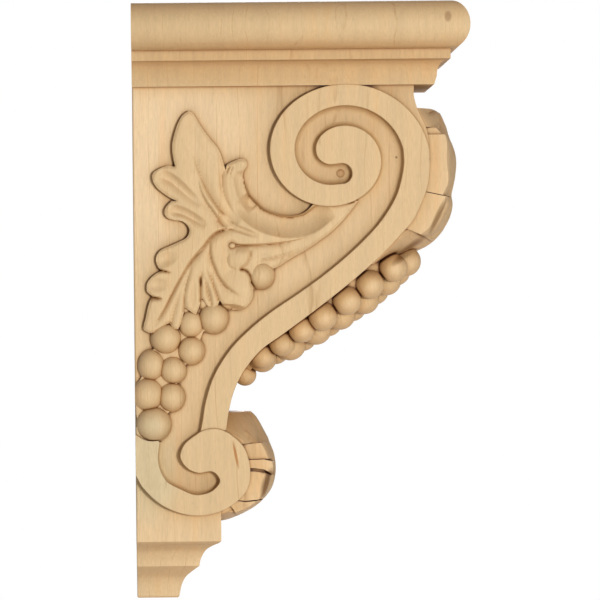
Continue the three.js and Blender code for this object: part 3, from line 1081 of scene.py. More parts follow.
@dataclass(frozen=True)
class Lobe:
    """One lobe of a front leaf, as the side view shows it.

    Attributes:
        outline: What it takes up in the side view, as (depth, height). It may reach past the leaf.
        half: Half its width across the front.
        edge: How far its side stands out from the front line, as (along, out).
    """

    outline: Points
    half: float
    edge: Points


@dataclass(frozen=True)
class FrontLeaf:
    """A leaf over one of the volutes on the front, crowned in the middle and cut into lobes.

    Attributes:
        crown: How far its middle stands out, as (along, out).
        creases: The lines cut in both halves of it, as (along, across).
        fullness: The power that bends it from its middle to its sides. Below 1 it is fuller.
    """

    line: FrontLine
    start: float
    end: float
    crown: Points
    lobes: tuple[Lobe, ...]
    creases: tuple[Crease, ...]
    cell: float = 1.15
    arris: float = 1.2
    fullness: float = 0.8
    margin: float = 2
    least: float = 1.0

    def height(self, lobe: Lobe, a: np.ndarray, b: np.ndarray) -> np.ndarray:
        """Gives how far a lobe's surface stands out from the front line.

        Args:
            lobe: The lobe.
            a: How far along the line the points asked for are.
            b: How far across.

        Returns:
            How far the surface stands out at each.
        """
        across = np.abs(b)
        middle, edge = (read_off(spline(table, 1.0), a) for table in (self.crown, lobe.edge))
        share = np.clip(across / lobe.half, 0, 1)
        height = edge + (middle - edge) * np.cos(share * math.pi / 2) ** self.fullness
        rim = np.clip(1 - (lobe.half - across) / self.arris, 0, 1)
        height = height - 0.5 * self.arris * rim**2
        return np.maximum(height + sum(crease.height(a, across) for crease in self.creases), self.least)

    def build(self) -> list[Solid]:
        """Makes the leaf.

        Returns:
            A solid for each lobe.
        """
        solids = []
        for lobe in self.lobes:
            side = lobe.half + self.margin
            rule = partial(self.height, lobe)
            slab = relief((self.start, -side), (self.end, side), self.cell, -BURIED, rule)
            block = turned(prism(lobe.outline, -lobe.half, lobe.half), SIDE_FRAME)
            solids.append(combined(self.line.bend(slab), [block], Join.INTERSECT))
        return solids


@dataclass(frozen=True)
class FrontGrapes:
    """The long bunch of grapes down the sweep of the front.

    Attributes:
        near: The outer row of grapes on each side, as (along, across, out, radius).
        second: The row beside it, in the same way.
        middle: The row down the middle.
        core: Half the outline of the wood left between the grapes, as (along, across).
        core_box: The least and greatest (along, across) of its grid.
        core_thins: Where along the line it starts to thin and where it is thinnest.
    """

    line: FrontLine
    near: Grapes = (
        (112.1, 33, 11.2, 8.5), (128.6, 33.5, 9, 8.8), (145.2, 33.8, 7.7, 8.8), (162.4, 33, 6.2, 8.9),
        (177, 29.5, 4.8, 8.2), (191.4, 25, 4.6, 7.8), (206, 18.5, 4, 7.8),
    )
    second: Grapes = (
        (104, 17, 14.2, 9.1), (119.5, 17.5, 14.2, 9), (136.4, 17.5, 13.9, 9.2), (153.2, 17, 11.8, 9.5),
        (170, 15.5, 10, 9.7), (188, 11, 8.4, 9.7), (207.2, 6, 5, 8.7),
    )
    middle: Grapes = (
        (111.5, 0, 14.6, 8.6), (128, 0, 14.4, 8.6), (144.6, 0, 13.4, 8.6), (161.5, 0, 11.6, 8.6),
        (179, 0, 9.4, 8.6), (197, 0, 6.8, 8.2), (222.5, 0, 2.8, 6.9),
    )
    turn: float = 30
    core: Points = (
        (104, 0), (104, 22), (114, 30), (128, 34.4), (159, 33), (180, 27), (200, 18), (216, 8), (226, 0),
    )
    core_box: tuple[Point, Point] = ((95, -39), (227, 39))
    core_cell: float = 4
    core_height: float = 8.5
    core_crown: float = 3.5
    core_spread: float = 26
    core_thins: Point = (150, 224)
    core_loss: float = 0.72
    tallest: float = 30

    def core_rule(self, a: np.ndarray, b: np.ndarray) -> np.ndarray:
        """Gives the height of the wood left between the grapes.

        Args:
            a: How far along the line the points asked for are.
            b: How far across.

        Returns:
            The height at each.
        """
        start, end = self.core_thins
        share = np.clip((a - start) / (end - start), 0, 1)
        crown = self.core_crown * np.cos(np.clip(np.abs(b) / self.core_spread, 0, 1.5))
        return (self.core_height + crown) * (1 - self.core_loss * share)

    def build(self) -> list[Solid]:
        """Makes the bunch.

        Returns:
            The wood between the grapes, and each grape.
        """
        half = np.array(self.core, dtype=float)
        edge = np.vstack([half, half[1:-1][::-1] * (1, -1)])
        slab = relief(*self.core_box, self.core_cell, -SUNK, self.core_rule)
        core = combined(slab, [prism(edge, -BURIED, self.tallest)], Join.INTERSECT)
        solids = [self.line.bend(core)]
        for along, across, out, radius in (*self.near, *self.second, *self.middle):
            for side in ((1, -1) if across else (1,)):
                centre = self.line.spot(along, side * across, out)
                solids.append(ball(tuple(centre), (radius,) * 3, self.turn))
        return solids


def upper_leaf(line: FrontLine) -> FrontLeaf:
    """Gives the leaf over the big volute.

    Args:
        line: The line down the front.

    Returns:
        The leaf, not yet built.
    """
    return FrontLeaf(
        line=line, start=6, end=120,
        crown=(
            (6, 12.5), (14, 13), (18, 13.6), (27, 14.8), (34, 15.2), (38, 16.6), (42, 18), (47, 18.7),
            (54, 18.4), (59, 17.8), (62.6, 17.8), (66, 20), (70, 21.1), (75, 21.4), (80, 20.8),
            (85, 19.4), (93, 16), (100, 13), (107, 8.5), (114, 4), (120, 1),
        ),
        lobes=(
            # What lies behind the gaps between the lobes.
            Lobe(((160, 112), (200, 112), (215, 60), (190, 22), (140, 20), (130, 60)), 47.6, ((6, 0.5),
                 (24, 1.5), (33, 8.6), (60, 11), (76, 9), (86, 3), (100, 0.5), (120, 0.5))),
            # The lobes from the top down.
            Lobe(((155.5, 115), (181, 115), (186.5, 112.4), (200.4, 103.8), (185, 103), (171, 103.9),
                 (155.5, 103.8)), 50, ((6, 0.6), (30, 2), (120, 2))),
            Lobe(((155.5, 103.2), (171, 103.2), (181, 103), (184.6, 99.2), (155.5, 99.2)), 48.4, ((6, 2),
                 (24, 6), (34, 9), (120, 9))),
            Lobe(((155.5, 99), (200.4, 99), (220, 80), (205, 59.8), (184.2, 62.8), (174.7, 64.9),
                 (155.5, 69.4)), 50.4, ((6, 9), (32, 10.6), (36, 11.4), (41, 11), (48, 11), (54, 12.1),
                 (59, 12.5), (64, 11.1), (120, 11))),
            Lobe(((152.5, 69.2), (172.9, 64.7), (184.2, 62.3), (203.4, 59.2), (214, 30), (189.6, 29.8),
                 (172.9, 38.5), (163.3, 42.4), (146.5, 49)), 50.4, ((60, 12.4), (65, 12.9), (69, 13.5),
                 (74.5, 12.4), (81, 11.5), (84.5, 10.7), (88, 9.4), (120, 8))),
            Lobe(((137.5, 46.6), (146.5, 48.6), (163.3, 42), (172.9, 38), (191, 29), (182.4, 14.9),
                 (158.5, 5.9), (134.5, 22.6)), 46.5, ((80, 1.5), (100, 1), (120, 1))),
        ),
        creases=(
            # The groove beside the midrib, the veins, and the cuts in from the gaps.
            Crease(((13, 2), (40, 3), (80, 3), (116, 1.5)), (1.4, 5), (-1.6, -1.6), (0.05, 0.2), 0.3),
            Crease(((16, 3), (19, 20), (19.5, 44)), (3.4, 3.4), (-1.8, -1.8), (0.3, 0.3), 0.1),
            Crease(((24, 3), (36, 20), (47, 42)), (4.4, 4.4), (-2.4, -2.4), (0.3, 0.4), 0.1),
            Crease(((46, 3), (62, 20), (78, 38)), (4.2, 4.2), (-2.4, -2.4), (0.3, 0.4), 0.1),
            Crease(((72, 3), (88, 14), (102, 29)), (3.4, 3.4), (-2, -2), (0.3, 0.3), 0.1),
            Crease(((32, 43), (28, 28), (18, 8)), (3.2, 3.2), (-3.4, -3.4), (0.1, 0.8), 0.4),
            Crease(((64, 43), (58, 26), (38, 6)), (3.4, 3.4), (-3.4, -3.4), (0.1, 0.8), 0.4),
            Crease(((87.4, 40), (82, 22), (66, 6)), (3.2, 3.2), (-3, -3), (0.1, 0.8), 0.4),
            Crease(((66, 46), (74, 44.5), (84, 43)), (3.4, 5), (-2.6, -2.6), (0.2, 0.2), 0.1),
        ),
    )


def lower_leaf() -> FrontLeaf:
    """Gives the leaf over the small volute, which is bent round the volute's own middle.

    Returns:
        The leaf, not yet built.
    """
    eye, radius, start, end, steps = (43.5, -102), 23.5, 90, -84, 24
    rim = FrontLine(tuple((float(a), float(b)) for a, b in arc(eye, radius, start, end, steps)))
    return FrontLeaf(
        line=rim, start=0, end=70,
        crown=(
            (0, 19), (8, 19.6), (14.4, 19.8), (17, 19.4), (18.7, 18.6), (22.5, 17.2), (27, 16.8),
            (34, 16.6), (41, 16.2), (44.3, 15.5), (47.4, 14.2), (51.7, 12.4), (55.4, 10.8), (60, 9.4),
            (70, 8.2),
        ),
        lobes=(
            # What lies behind the gaps between the lobes.
            Lobe(((44, -67.5), (90, -67.5), (90, -130), (56, -127), (40, -120)), 40, ((0, 2), (24, 8),
                 (34, 9.6), (46, 8.6), (60, 5), (70, 4))),
            # The lobes from the top down.
            Lobe(((38.6, -66.8), (74, -66.8), (89.6, -75), (89.6, -84.6), (75.8, -84.6), (64.4, -85.5),
                 (38.6, -85.8)), 44, ((0, 1.5), (14, 3), (26, 4.5), (70, 5))),
            Lobe(((38.6, -86.2), (64.4, -85.9), (75.8, -85), (89.6, -85), (89.6, -95), (75.8, -94.6),
                 (65.6, -95), (38.6, -95)), 42.6, ((0, 11), (26, 11.8), (34, 12.6), (70, 12))),
            Lobe(((38.6, -95.4), (65.6, -95.4), (75.8, -95), (89.6, -98.4), (89.6, -106.8),
                 (81.2, -104.1), (75.8, -101), (69.8, -100.1), (38.6, -99.6)), 44.4, ((0, 14), (36, 14.6),
                 (42, 14.8), (70, 14))),
            Lobe(((38.6, -102), (69.8, -102.3), (76.4, -103.2), (89.6, -108), (89.6, -120), (73.4, -119),
                 (64.4, -119.8), (38.6, -117)), 43.4, ((0, 10), (38, 10), (46, 10.4), (50, 10.3),
                 (70, 10))),
            Lobe(((38.6, -117), (64.4, -120.6), (73.4, -119.8), (89.6, -122.9), (80.6, -137.9),
                 (62.6, -134.9), (57.2, -125), (47.6, -114)), 43, ((0, 9), (50, 9.6), (54, 8.4), (60, 6),
                 (70, 5))),
            Lobe(((47.6, -114), (57.4, -124.6), (63, -134.9), (56.6, -137.9), (41.6, -134.9),
                 (38.6, -120)), 40.6, ((0, 3), (56, 3), (70, 3))),
        ),
        creases=(
            # The groove beside the midrib, the veins, and the cuts in from the gaps.
            Crease(((2, 2), (67, 1.6)), (1.4, 4.4), (-1.4, -1.4), (0.05, 0.2), 0.3),
            Crease(((8, 3), (20, 18), (25, 36)), (4, 4), (-2, -2), (0.2, 0.3), 0.1),
            Crease(((26, 3), (36, 16), (44, 34)), (4, 4), (-2, -2), (0.2, 0.4), 0.1),
            Crease(((38.6, 38), (34, 22), (26, 6)), (3, 3), (-3, -3), (0.1, 0.8), 0.4),
            Crease(((39, 39.5), (45, 39), (52, 37)), (3.4, 5), (-3.2, -3.2), (0.15, 0.3), 0.2),
            Crease(((56, 36), (50, 16), (42, 6)), (3, 3), (-2.4, -2.4), (0.1, 0.8), 0.4),
        ),
    )


# Finish


def linear(code: str) -> tuple[float, float, float, float]:
    """Turns an sRGB hex colour to linear.

    Args:
        code: The colour, such as "#E6C79B".

    Returns:
        Its red, green and blue in linear light, and an alpha of 1.
    """
    channels = [int(code[place:place + 2], 16) / 255 for place in (1, 3, 5)]
    red, green, blue = (c / 12.92 if c <= 0.04045 else ((c + 0.055) / 1.055) ** 2.4 for c in channels)
    return red, green, blue, 1.0


def add(tree: Tree, kind: str, links: dict | Sequence = (), **settings: object) -> Node:
    """Adds a node.

    Args:
        tree: The node tree that gets it.
        kind: The node's type, without the "ShaderNode" that it starts with.
        links: What the inputs get: an output, a node whose first output is meant, or a value. A dict
            gives them by name or number, and a sequence gives them from the first input on.
        settings: The node's own properties.

    Returns:
        The node.
    """
    node = tree.nodes.new("ShaderNode" + kind)
    for name, value in settings.items():
        setattr(node, name, value)
    for name, value in links.items() if isinstance(links, dict) else enumerate(links):
        if isinstance(value, Node):
            value = next(output for output in value.outputs if output.enabled)
        if isinstance(value, Socket):
            tree.links.new(value, node.inputs[name])
        else:
            node.inputs[name].default_value = value
    return node


@dataclass(frozen=True)
class Figure:
    """One figure in the wood: a noise drawn out along the grain.

    Attributes:
        across: The size of its cells across the grain, in mm.
        along: Their size along the grain, in mm.
        span: The range of the noise that is used.
        effect: What that range is turned into.
    """

    across: float
    along: float
    detail: float
    span: Point
    effect: Point

    def noise(self, tree: Tree, place: Node) -> Node:
        """Adds the noise.

        Args:
            tree: The node tree that gets it.
            place: The place in the wood.

        Returns:
            The noise's node.
        """
        scale = [1 / (METRES_PER_MM * size) for size in (self.across, self.across, self.along)]
        stretched = add(tree, "Mapping", {"Vector": place, "Scale": scale})
        return add(tree, "TexNoise", {"Vector": stretched, "Scale": 1.0, "Detail": self.detail})

    def shift(self, tree: Tree, noise: Node) -> Node:
        """Adds the effect of the noise."""
        return add(tree, "MapRange", (noise, *self.span, *self.effect))


@dataclass(frozen=True)
class Mark:
    """A patch of colour on the side that faces the camera. Most are stains in the wood; those the list marks
    are painted light or painted shade.

    Attributes:
        lean: How far its top leans to the wall, in degrees.
        reach: How near to the middle of the width it comes.
        rim: The squares of the shares of its radii where it fades out and where it shows in full.
    """

    depth: float
    height: float
    radii: Point
    colour: str
    strength: float
    lean: float = 0.0
    reach: float = 50.0
    fade: float = 6.0
    rim: Point = (1.3, 0.3)

    def stain_and_painted_light(self, tree: Tree, place: Socket, out: Socket) -> Node:
        """Gives how much of the patch shows at a place.

        Args:
            tree: The node tree that gets it.
            place: The place in the wood.
            out: How far it is out from the middle plane.

        Returns:
            The node that gives the patch's share.
        """
        middle = (0, -METRES_PER_MM * (WALL_ARRIS + self.depth), METRES_PER_MM * self.height)
        size = (RUNS_THROUGH, *(METRES_PER_MM * radius for radius in self.radii))
        turn = (-math.radians(self.lean), 0, 0)
        links = {"Vector": place, "Location": middle, "Rotation": turn, "Scale": size}
        spread = add(tree, "Mapping", links, vector_type="TEXTURE")
        square = add(tree, "VectorMath", (spread, spread), operation="DOT_PRODUCT")
        inside = add(tree, "MapRange", (square, *self.rim, 0, self.strength))
        ends = (-METRES_PER_MM * (self.reach + self.fade), -METRES_PER_MM * self.reach)
        near = add(tree, "MapRange", (out, *ends, 1, 0))
        return add(tree, "Math", (inside, near), operation="MULTIPLY")


@dataclass(frozen=True)
class HollowShade:
    """Painted shade in the hollows of the carving: the wood darkens where nearby wood closes off the open
    sky.

    Attributes:
        reach: How near the wood is that closes such a hollow, in mm.
        open: The share of open sky above which nothing shows.
        closed: The share below which it shows in full.
    """

    reach: float
    open: float
    closed: float
    colour: str
    strength: float

    def share(self, tree: Tree) -> Node:
        """Gives how much of it shows at a place.

        Args:
            tree: The node tree that gets it.

        Returns:
            The node that gives the share.
        """
        sky = add(tree, "AmbientOcclusion", {"Distance": METRES_PER_MM * self.reach}, only_local=True,
                  samples=12)
        return add(tree, "MapRange", (sky.outputs["AO"], self.closed, self.open, self.strength, 0),
                   interpolation_type="SMOOTHSTEP")


@dataclass(frozen=True)
class SandedMaple:
    """Hard maple, glued up in boards, carved and sanded and left bare.

    Maple is pale and close-grained: the eye sees fine flecks along the grain, thin brown growth lines
    and a dull surface. End grain is browner. Painted shade browns the faces that turn away from the side
    plane and darkens the hollows, to near black in the deepest cuts.

    Attributes:
        board: The width of a board, in metres, as are the sizes down to ring_area.
        first_board: How far from the middle plane the boards are counted from.
        pith: Where the pith of the board at the count's start lies, as (X, Y).
        pith_shift: How far the pith lies off in the next board.
        ring_area: The area that a growth ring takes up, in square metres.
        late_wood: The shares of a ring where its line starts, is darkest and ends.
        line_span: The range of the bands over which the growth lines come in.
        side_shade_turn: How squarely a face looks sideways where no painted shade is laid, and where it is
            full.
        end_cut: How squarely a face looks up or down where its end grain starts to show, and all does.
        bump: The strength of the grain that is felt, and its depth in metres.
    """

    name: str = "hard_maple_carved_and_sanded"
    ground: str = "#DABB8F"
    raised: str = "#D3B487"
    blush: str = "#CF9F68"
    line: str = "#A0703A"
    end_grain_and_shade: str = "#9A6430"
    roughness: float = 0.6
    gloss: float = 0.3
    board: float = 0.0225
    first_board: float = 0.0745
    pith: Point = (-0.055, -0.108)
    pith_shift: Point = (0.031, 0.017)
    ring_area: float = 0.00105
    late_wood: Place = (0.9, 0.97, 1.0)
    line_span: Point = (0.45, 0.65)
    line_strength: Point = (0.0, 0.45)
    raised_span: Point = (0.0585, 0.064)
    blush_span: Point = (0.55, 0.8)
    blush_strength: Point = (0.0, 0.4)
    side_shade_turn: Point = (0.995, 0.75)
    side_shade_strength: Point = (0.0, 0.2)
    end_cut: Point = (0.1, 0.85)
    end_strength: Point = (0.0, 0.18)
    bump: Point = (0.35, 0.00012)
    bump_of_flecks: float = 0.5
    # The streaks, bands, flecks and rays lighten and darken the wood, and the last bends its rings.
    streaks: Figure = Figure(9.09, 125, 3, (0.3, 0.7), (0.945, 1.04))
    bands: Figure = Figure(3.03, 71.4, 3, (0.3, 0.7), (-0.03, 0.03))
    flecks: Figure = Figure(0.6667, 5.88, 2, (0.3, 0.7), (-0.055, 0.05))
    rays: Figure = Figure(1.111, 3.333, 1, (0.62, 0.74), (0, -0.06))
    wander: Figure = Figure(35.7, 222, 3, (0.2, 0.8), (-0.9, 0.9))
    # A painted pool of light: the upper part of the side near the wall is lightened.
    lit_patch: Mark = Mark(12, 104, (52, 84), "#F0D4AC", 0.45)
    marks: tuple[Mark, ...] = (
        # The first is painted shade under the cap's nose; the second makes the foot darker towards its
        # bottom.
        Mark(100, 141, (150, 13), "#C2925A", 0.4), Mark(20, -174, (60, 20), "#C08450", 0.5),
        Mark(8, -98, (16, 34), "#C9BC98", 0.5), Mark(58.6, -91.5, (0.9, 8.5), "#A9681C", 0.8, 11),
        Mark(187, 168, (2.2, 3.4), "#7A4A1E", 0.5), Mark(156.6, 85.3, (0.8, 0.8), "#6A3D14", 0.7),
        Mark(176.6, 84, (0.7, 0.7), "#6A3D14", 0.6), Mark(123.3, 76.3, (2.6, 2.6), "#B8793C", 0.35),
        # Painted shade in the hollows of the front leaves.
        Mark(78, -110.3, (3.7, 10.4), "#5E3C14", 0.85, -17, 30),
        Mark(181.3, 49.6, (1.9, 11.5), "#7A5828", 0.7, -25, 30),
        Mark(164.5, 29.8, (3, 13), "#6A4A20", 0.85, -50, 22),
        Mark(77.6, -103, (4, 1.2), "#7A5220", 0.5, 0, 30),
    )
    # Painted shade in the hollows: a broad soft darkening, a browner one close to the walls, and near black
    # in the deepest cuts.
    hollow_shades: tuple[HollowShade, ...] = (
        HollowShade(20, 0.98, 0.45, "#DDCEAE", 0.6), HollowShade(2.4, 0.94, 0.5, "#C9A26C", 0.62),
        HollowShade(3, 0.63, 0.28, "#7C4C18", 0.95),
    )

    def growth_lines(self, tree: Tree, axes: object, board: Node, wander: Node,
                     bands: Node) -> Node:
        """Gives where growth lines run: round an upright pith, which lies elsewhere in each board.

        Args:
            tree: The node tree that gets them.
            axes: The place's coordinates, by axis.
            board: The number of the board that it is in.
            wander: How far the rings bend off there.
            bands: The noise of the bands there.

        Returns:
            The node that gives how strong a line is.
        """
        squares = []
        for axis, centre, shift in zip(("X", "Y"), self.pith, self.pith_shift):
            offset = add(tree, "Math", (board, -shift, -centre), operation="MULTIPLY_ADD")
            from_pith = add(tree, "Math", (axes[axis], offset), operation="ADD")
            squares.append(add(tree, "Math", (from_pith, 2.0), operation="POWER"))
        area = add(tree, "Math", squares, operation="ADD")
        rings = add(tree, "Math", (area, self.ring_area), operation="DIVIDE")
        rings = add(tree, "Math", (rings, wander), operation="ADD")
        phase = add(tree, "Math", (rings,), operation="FRACT")
        start, darkest, end = self.late_wood
        rise = add(tree, "MapRange", (phase, start, darkest, 0, 1))
        fall = add(tree, "MapRange", (phase, darkest, end, 0, 1))
        late = add(tree, "Math", (rise, fall), operation="SUBTRACT")
        strength = add(tree, "MapRange", (bands, *self.line_span, *self.line_strength))
        return add(tree, "Math", (late, strength), operation="MULTIPLY")

    def browned_and_shaded(self, tree: Tree, facing: object) -> Node:
        """Gives how brown the wood is: painted shade on faces that turn away from the side plane, and the
        browner end grain on faces that turn up or down.

        Args:
            tree: The node tree that gets it.
            facing: The way that the surface faces, by axis.

        Returns:
            The node that gives the share of the end grain and shade colour.
        """
        shares = []
        # The sideways term is painted shade on slopes; the upright term is the browner end grain.
        for axis, span, strength in (("X", self.side_shade_turn, self.side_shade_strength),
                                     ("Z", self.end_cut, self.end_strength)):
            squareness = add(tree, "Math", (facing[axis],), operation="ABSOLUTE")
            shares.append(add(tree, "MapRange", (squareness, *span, *strength)))
        return add(tree, "Math", shares, operation="ADD")

    def build(self) -> bpy.types.Material:
        """Makes the material.

        Returns:
            The material, whose patterns lie in the wood as it is placed.
        """
        material = bpy.data.materials.new(self.name)
        material.use_nodes = True
        tree = material.node_tree
        tree.nodes.clear()
        spot = add(tree, "TexCoord")
        place = spot.outputs["Object"]
        axes = add(tree, "SeparateXYZ", (place,)).outputs
        facing = add(tree, "SeparateXYZ", (spot.outputs["Normal"],)).outputs

        # Each board has its grain from elsewhere.
        board = add(tree, "Math", (axes["X"], self.first_board), operation="ADD")
        board = add(tree, "Math", (board, self.board), operation="DIVIDE")
        board = add(tree, "Math", (board,), operation="FLOOR")
        chance = add(tree, "TexWhiteNoise", {"W": board}, noise_dimensions="1D").outputs["Color"]
        sawn = add(tree, "VectorMath", (chance, place), operation="ADD")

        figures = (self.streaks, self.bands, self.flecks, self.rays, self.wander)
        noises = [figure.noise(tree, sawn) for figure in figures]
        streaks, bands, flecks = noises[:3]
        tone, *shifts, wander = (figure.shift(tree, noise) for figure, noise in zip(figures, noises))
        for shift in shifts:
            tone = add(tree, "Math", (tone, shift), operation="ADD")
        shade = add(tree, "CombineColor", (tone, tone, tone))

        out = add(tree, "Math", (axes["X"],), operation="ABSOLUTE")
        layers = [
            # The painted pool of light over the upper part of the side.
            (self.lit_patch.stain_and_painted_light(tree, place, axes["X"]), linear(self.lit_patch.colour), Blend.COVER),
            (add(tree, "MapRange", (out, *self.raised_span, 0, 1)), linear(self.raised), Blend.COVER),
            (add(tree, "MapRange", (streaks, *self.blush_span, *self.blush_strength)),
             linear(self.blush), Blend.COVER),
            (self.growth_lines(tree, axes, board, wander, bands), linear(self.line), Blend.COVER),
            # Stains, and the patches of painted shade that the list marks.
            *((mark.stain_and_painted_light(tree, place, axes["X"]), linear(mark.colour), Blend.COVER)
              for mark in self.marks),
            (1.0, shade, Blend.DARKEN),
            # Painted shade on faces that turn away from the side plane, and browner end grain.
            (self.browned_and_shaded(tree, facing), linear(self.end_grain_and_shade), Blend.COVER),
            # Painted shade in the hollows, from how closed in each place is.
            *((hollow.share(tree), linear(hollow.colour), Blend.DARKEN) for hollow in self.hollow_shades),
        ]
        colour = linear(self.ground)
        for share, tint, blend in layers:
            colour = add(tree, "Mix", {"Factor": share, "A": colour, "B": tint}, data_type="RGBA",
                         blend_type=blend.value)

        height = add(tree, "Math", (flecks, self.bump_of_flecks, bands), operation="MULTIPLY_ADD")
        strength, depth = self.bump
        bump = add(tree, "Bump", {"Height": height, "Strength": strength, "Distance": depth})
        shader = add(tree, "BsdfPrincipled", {"Roughness": self.roughness, "Specular IOR Level": self.gloss,
                                              "Base Color": colour, "Normal": bump})
        add(tree, "OutputMaterial", {"Surface": shader})
        return material


# The whole bracket


@dataclass
class Corbel:
    """The bracket: every feature joined into one block of wood.

    Attributes:
        overlap: How far the block reaches into the cap and the foot.
        saw: The depth, half width and half height of what is sawn off behind the wall's plane.
    """

    finish: SandedMaple
    line: FrontLine = field(default_factory=FrontLine)
    mouldings: Mouldings = field(default_factory=Mouldings)
    overlap: Point = (2, 8)
    saw: Place = (60, 100, 200)
    crease_angle: float = 34
    flatness: float = 0.9999

    def block(self) -> Solid:
        """Makes the sawn block behind the carving.

        Returns:
            The block in the frame's axes.
        """
        top = self.mouldings.cap_under + self.overlap[0]
        bottom = self.mouldings.foot_cove + self.overlap[1]
        front = self.line.path()
        outline = np.vstack([[(-WALL_ARRIS, top), (front[0][0], top)], front,
                             [(self.mouldings.foot_depth, bottom), (-WALL_ARRIS, bottom)]])
        solid = prism(outline, -GROUND, GROUND)
        on_wall = [edge for edge in solid.edges
                   if all(vert.co.x < 0 for vert in edge.verts) and edge.verts[0].co.z == edge.verts[1].co.z]
        round_off(solid, on_wall, WALL_ARRIS, 3)
        return turned(solid, SIDE_FRAME)

    def build(self) -> bpy.types.Object:
        """Carves the bracket.

        Returns:
            The finished piece.
        """
        features = {
            "cap": [self.mouldings.cap()],
            "foot": [self.mouldings.foot()],
            "scroll": Scroll().build(),
            "side leaves": SideLeaf().build(),
            "side grapes": SideGrapes().build(),
            "upper leaf": upper_leaf(self.line).build(),
            "lower leaf": lower_leaf().build(),
            "front grapes": FrontGrapes(self.line).build(),
        }
        for name, solids in features.items():
            log.info("%s: %d solids, %d faces", name, len(solids), sum(len(solid.faces) for solid in solids))
        parts = [solid for solids in features.values() for solid in solids]
        depth, wide, tall = self.saw
        behind = prism(((-wide, -tall), (wide, -tall), (wide, tall), (-wide, tall)), 0, depth)
        behind = turned(behind, Matrix.Rotation(math.radians(-90), 4, "X"))
        carved = combined(combined(self.block(), parts, Join.UNION), [behind], Join.DIFFERENCE)
        self.smooth(carved)
        bmesh.ops.scale(carved, vec=(METRES_PER_MM,) * 3, verts=carved.verts)
        piece = as_object(carved, "carved_corbel", bpy.context.scene.collection)
        piece.data.materials.append(self.finish.build())
        return piece

    def smooth(self, solid: Solid) -> None:
        """Cleans a solid's joins, keeps its arrises sharp and shades the rest smooth.

        Args:
            solid: The solid.
        """
        bmesh.ops.remove_doubles(solid, verts=solid.verts, dist=TOUCHING)
        bmesh.ops.dissolve_degenerate(solid, edges=solid.edges, dist=TOUCHING)
        limit = math.radians(self.crease_angle)
        for edge in solid.edges:
            edge.smooth = edge.calc_face_angle(math.pi) < limit
        for face in solid.faces:
            face.smooth = max(abs(axis) for axis in face.normal) < self.flatness


# Studio


def stood(thing: bpy.types.ID, place: Place, aim: Place, roll: float = 0.0) -> bpy.types.Object:
    """Stands a camera or a lamp in the scene and turns it to look at a place.

    Args:
        thing: The camera's or lamp's data.
        place: Where it stands.
        aim: What it looks at.
        roll: How far it is rolled about its line of sight, in degrees.

    Returns:
        Its object.
    """
    stand = bpy.data.objects.new(thing.name, thing)
    look = (Vector(aim) - Vector(place)).to_track_quat("-Z", "Y")
    stand.location = place
    stand.rotation_mode = "QUATERNION"
    stand.rotation_quaternion = look @ Matrix.Rotation(math.radians(roll), 3, "Z").to_quaternion()
    bpy.context.scene.collection.objects.link(stand)
    return stand


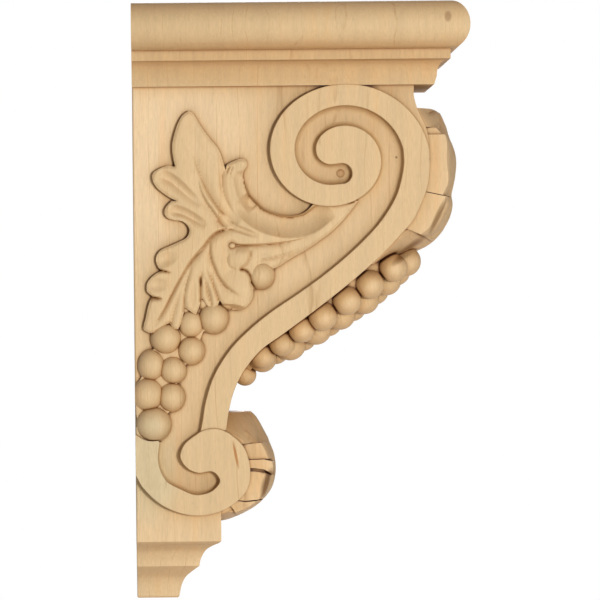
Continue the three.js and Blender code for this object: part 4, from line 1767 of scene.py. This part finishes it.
@dataclass(frozen=True)
class Studio:
    """A plain pale floor, soft light and a camera where the photograph was taken from.

    Attributes:
        ambient: The soft light from behind the bracket and from in front of it.
        ambient_span: How far back and how far forward each is reached.
        overhead_from: How far up it starts.
    """

    floor_drop: float = 0.55
    floor_half: float = 3.0
    camera: Place = (-3.247, -0.0300, 0.0002)
    aim: Place = (-0.065, -0.0991, 0.0005)
    lens: float = 320
    sensor: float = 36
    sight: float = 50
    roll: float = -0.58
    lamps: tuple[tuple[str, Place, float], ...] = (
        ("key", (-2.96, -0.86, 0.02), 0.4), ("far key", (2.98, 0.2, 0.6), 1.2))
    power: float = 60
    ambient: Point = (0.045, 0.22)
    ambient_span: Point = (0.7, -0.5)
    overhead: float = 0.55
    overhead_from: float = 0.3

    def build(self) -> bpy.types.Object:
        """Sets the studio up.

        Returns:
            The floor.
        """
        scene = bpy.context.scene
        scene.view_settings.view_transform = "Standard"
        scene.world = self.world()
        for name, place, width in self.lamps:
            light = bpy.data.lights.new(name, "AREA")
            light.shape = "DISK"
            light.size = width
            light.energy = self.power
            stood(light, place, self.aim)
        camera = bpy.data.cameras.new("camera")
        camera.lens = self.lens
        camera.sensor_width = self.sensor
        camera.clip_end = self.sight
        scene.camera = stood(camera, self.camera, self.aim, self.roll)
        return self.floor()

    def world(self) -> bpy.types.World:
        """Makes the soft light, most from the front and above, with a white background.

        Returns:
            The world.
        """
        world = bpy.data.worlds.new("studio")
        world.use_nodes = True
        tree = world.node_tree
        tree.nodes.clear()
        seen = add(tree, "LightPath").outputs["Is Camera Ray"]
        towards = add(tree, "SeparateXYZ", (add(tree, "TexCoord").outputs["Generated"],)).outputs
        around = add(tree, "MapRange", (towards["Y"], *self.ambient_span, *self.ambient),
                     interpolation_type="SMOOTHSTEP")
        above = add(tree, "MapRange", (towards["Z"], self.overhead_from, 1.0, 0, self.overhead))
        strength = add(tree, "Math", (around, above), operation="ADD")
        glow, plain = (add(tree, "Background", {"Color": linear("#FFFFFF"), "Strength": light})
                       for light in (strength, 1.0))
        add(tree, "OutputWorld", {"Surface": add(tree, "MixShader", (seen, glow, plain))})
        return world

    def floor(self) -> bpy.types.Object:
        """Lays the floor below the bracket.

        Returns:
            The floor.
        """
        solid = bmesh.new()
        lowest = Matrix.Translation((0, 0, CAD_BOX[0].z - self.floor_drop))
        bmesh.ops.create_grid(solid, x_segments=1, y_segments=1, size=self.floor_half, matrix=lowest)
        floor = as_object(solid, "floor", bpy.context.scene.collection)
        # Rolled matt paint is near white and has no gloss to the eye.
        material = bpy.data.materials.new("matt_white_paint_rolled")
        material.use_nodes = True
        paint = material.node_tree.nodes["Principled BSDF"]
        paint.inputs["Base Color"].default_value = linear("#F4F3F0")
        paint.inputs["Roughness"].default_value = 0.9
        floor.data.materials.append(material)
        return floor


def main() -> None:
    """Builds the bracket and its studio and reports each piece."""
    logging.basicConfig(level=logging.INFO, format="%(name)s: %(message)s")
    piece = Corbel(SandedMaple()).build()
    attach(piece, "root")
    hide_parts("corbel")
    log.info("%s: %d faces", piece.name, len(piece.data.polygons))
    Studio().build()


if __name__ == "__main__":
    main()
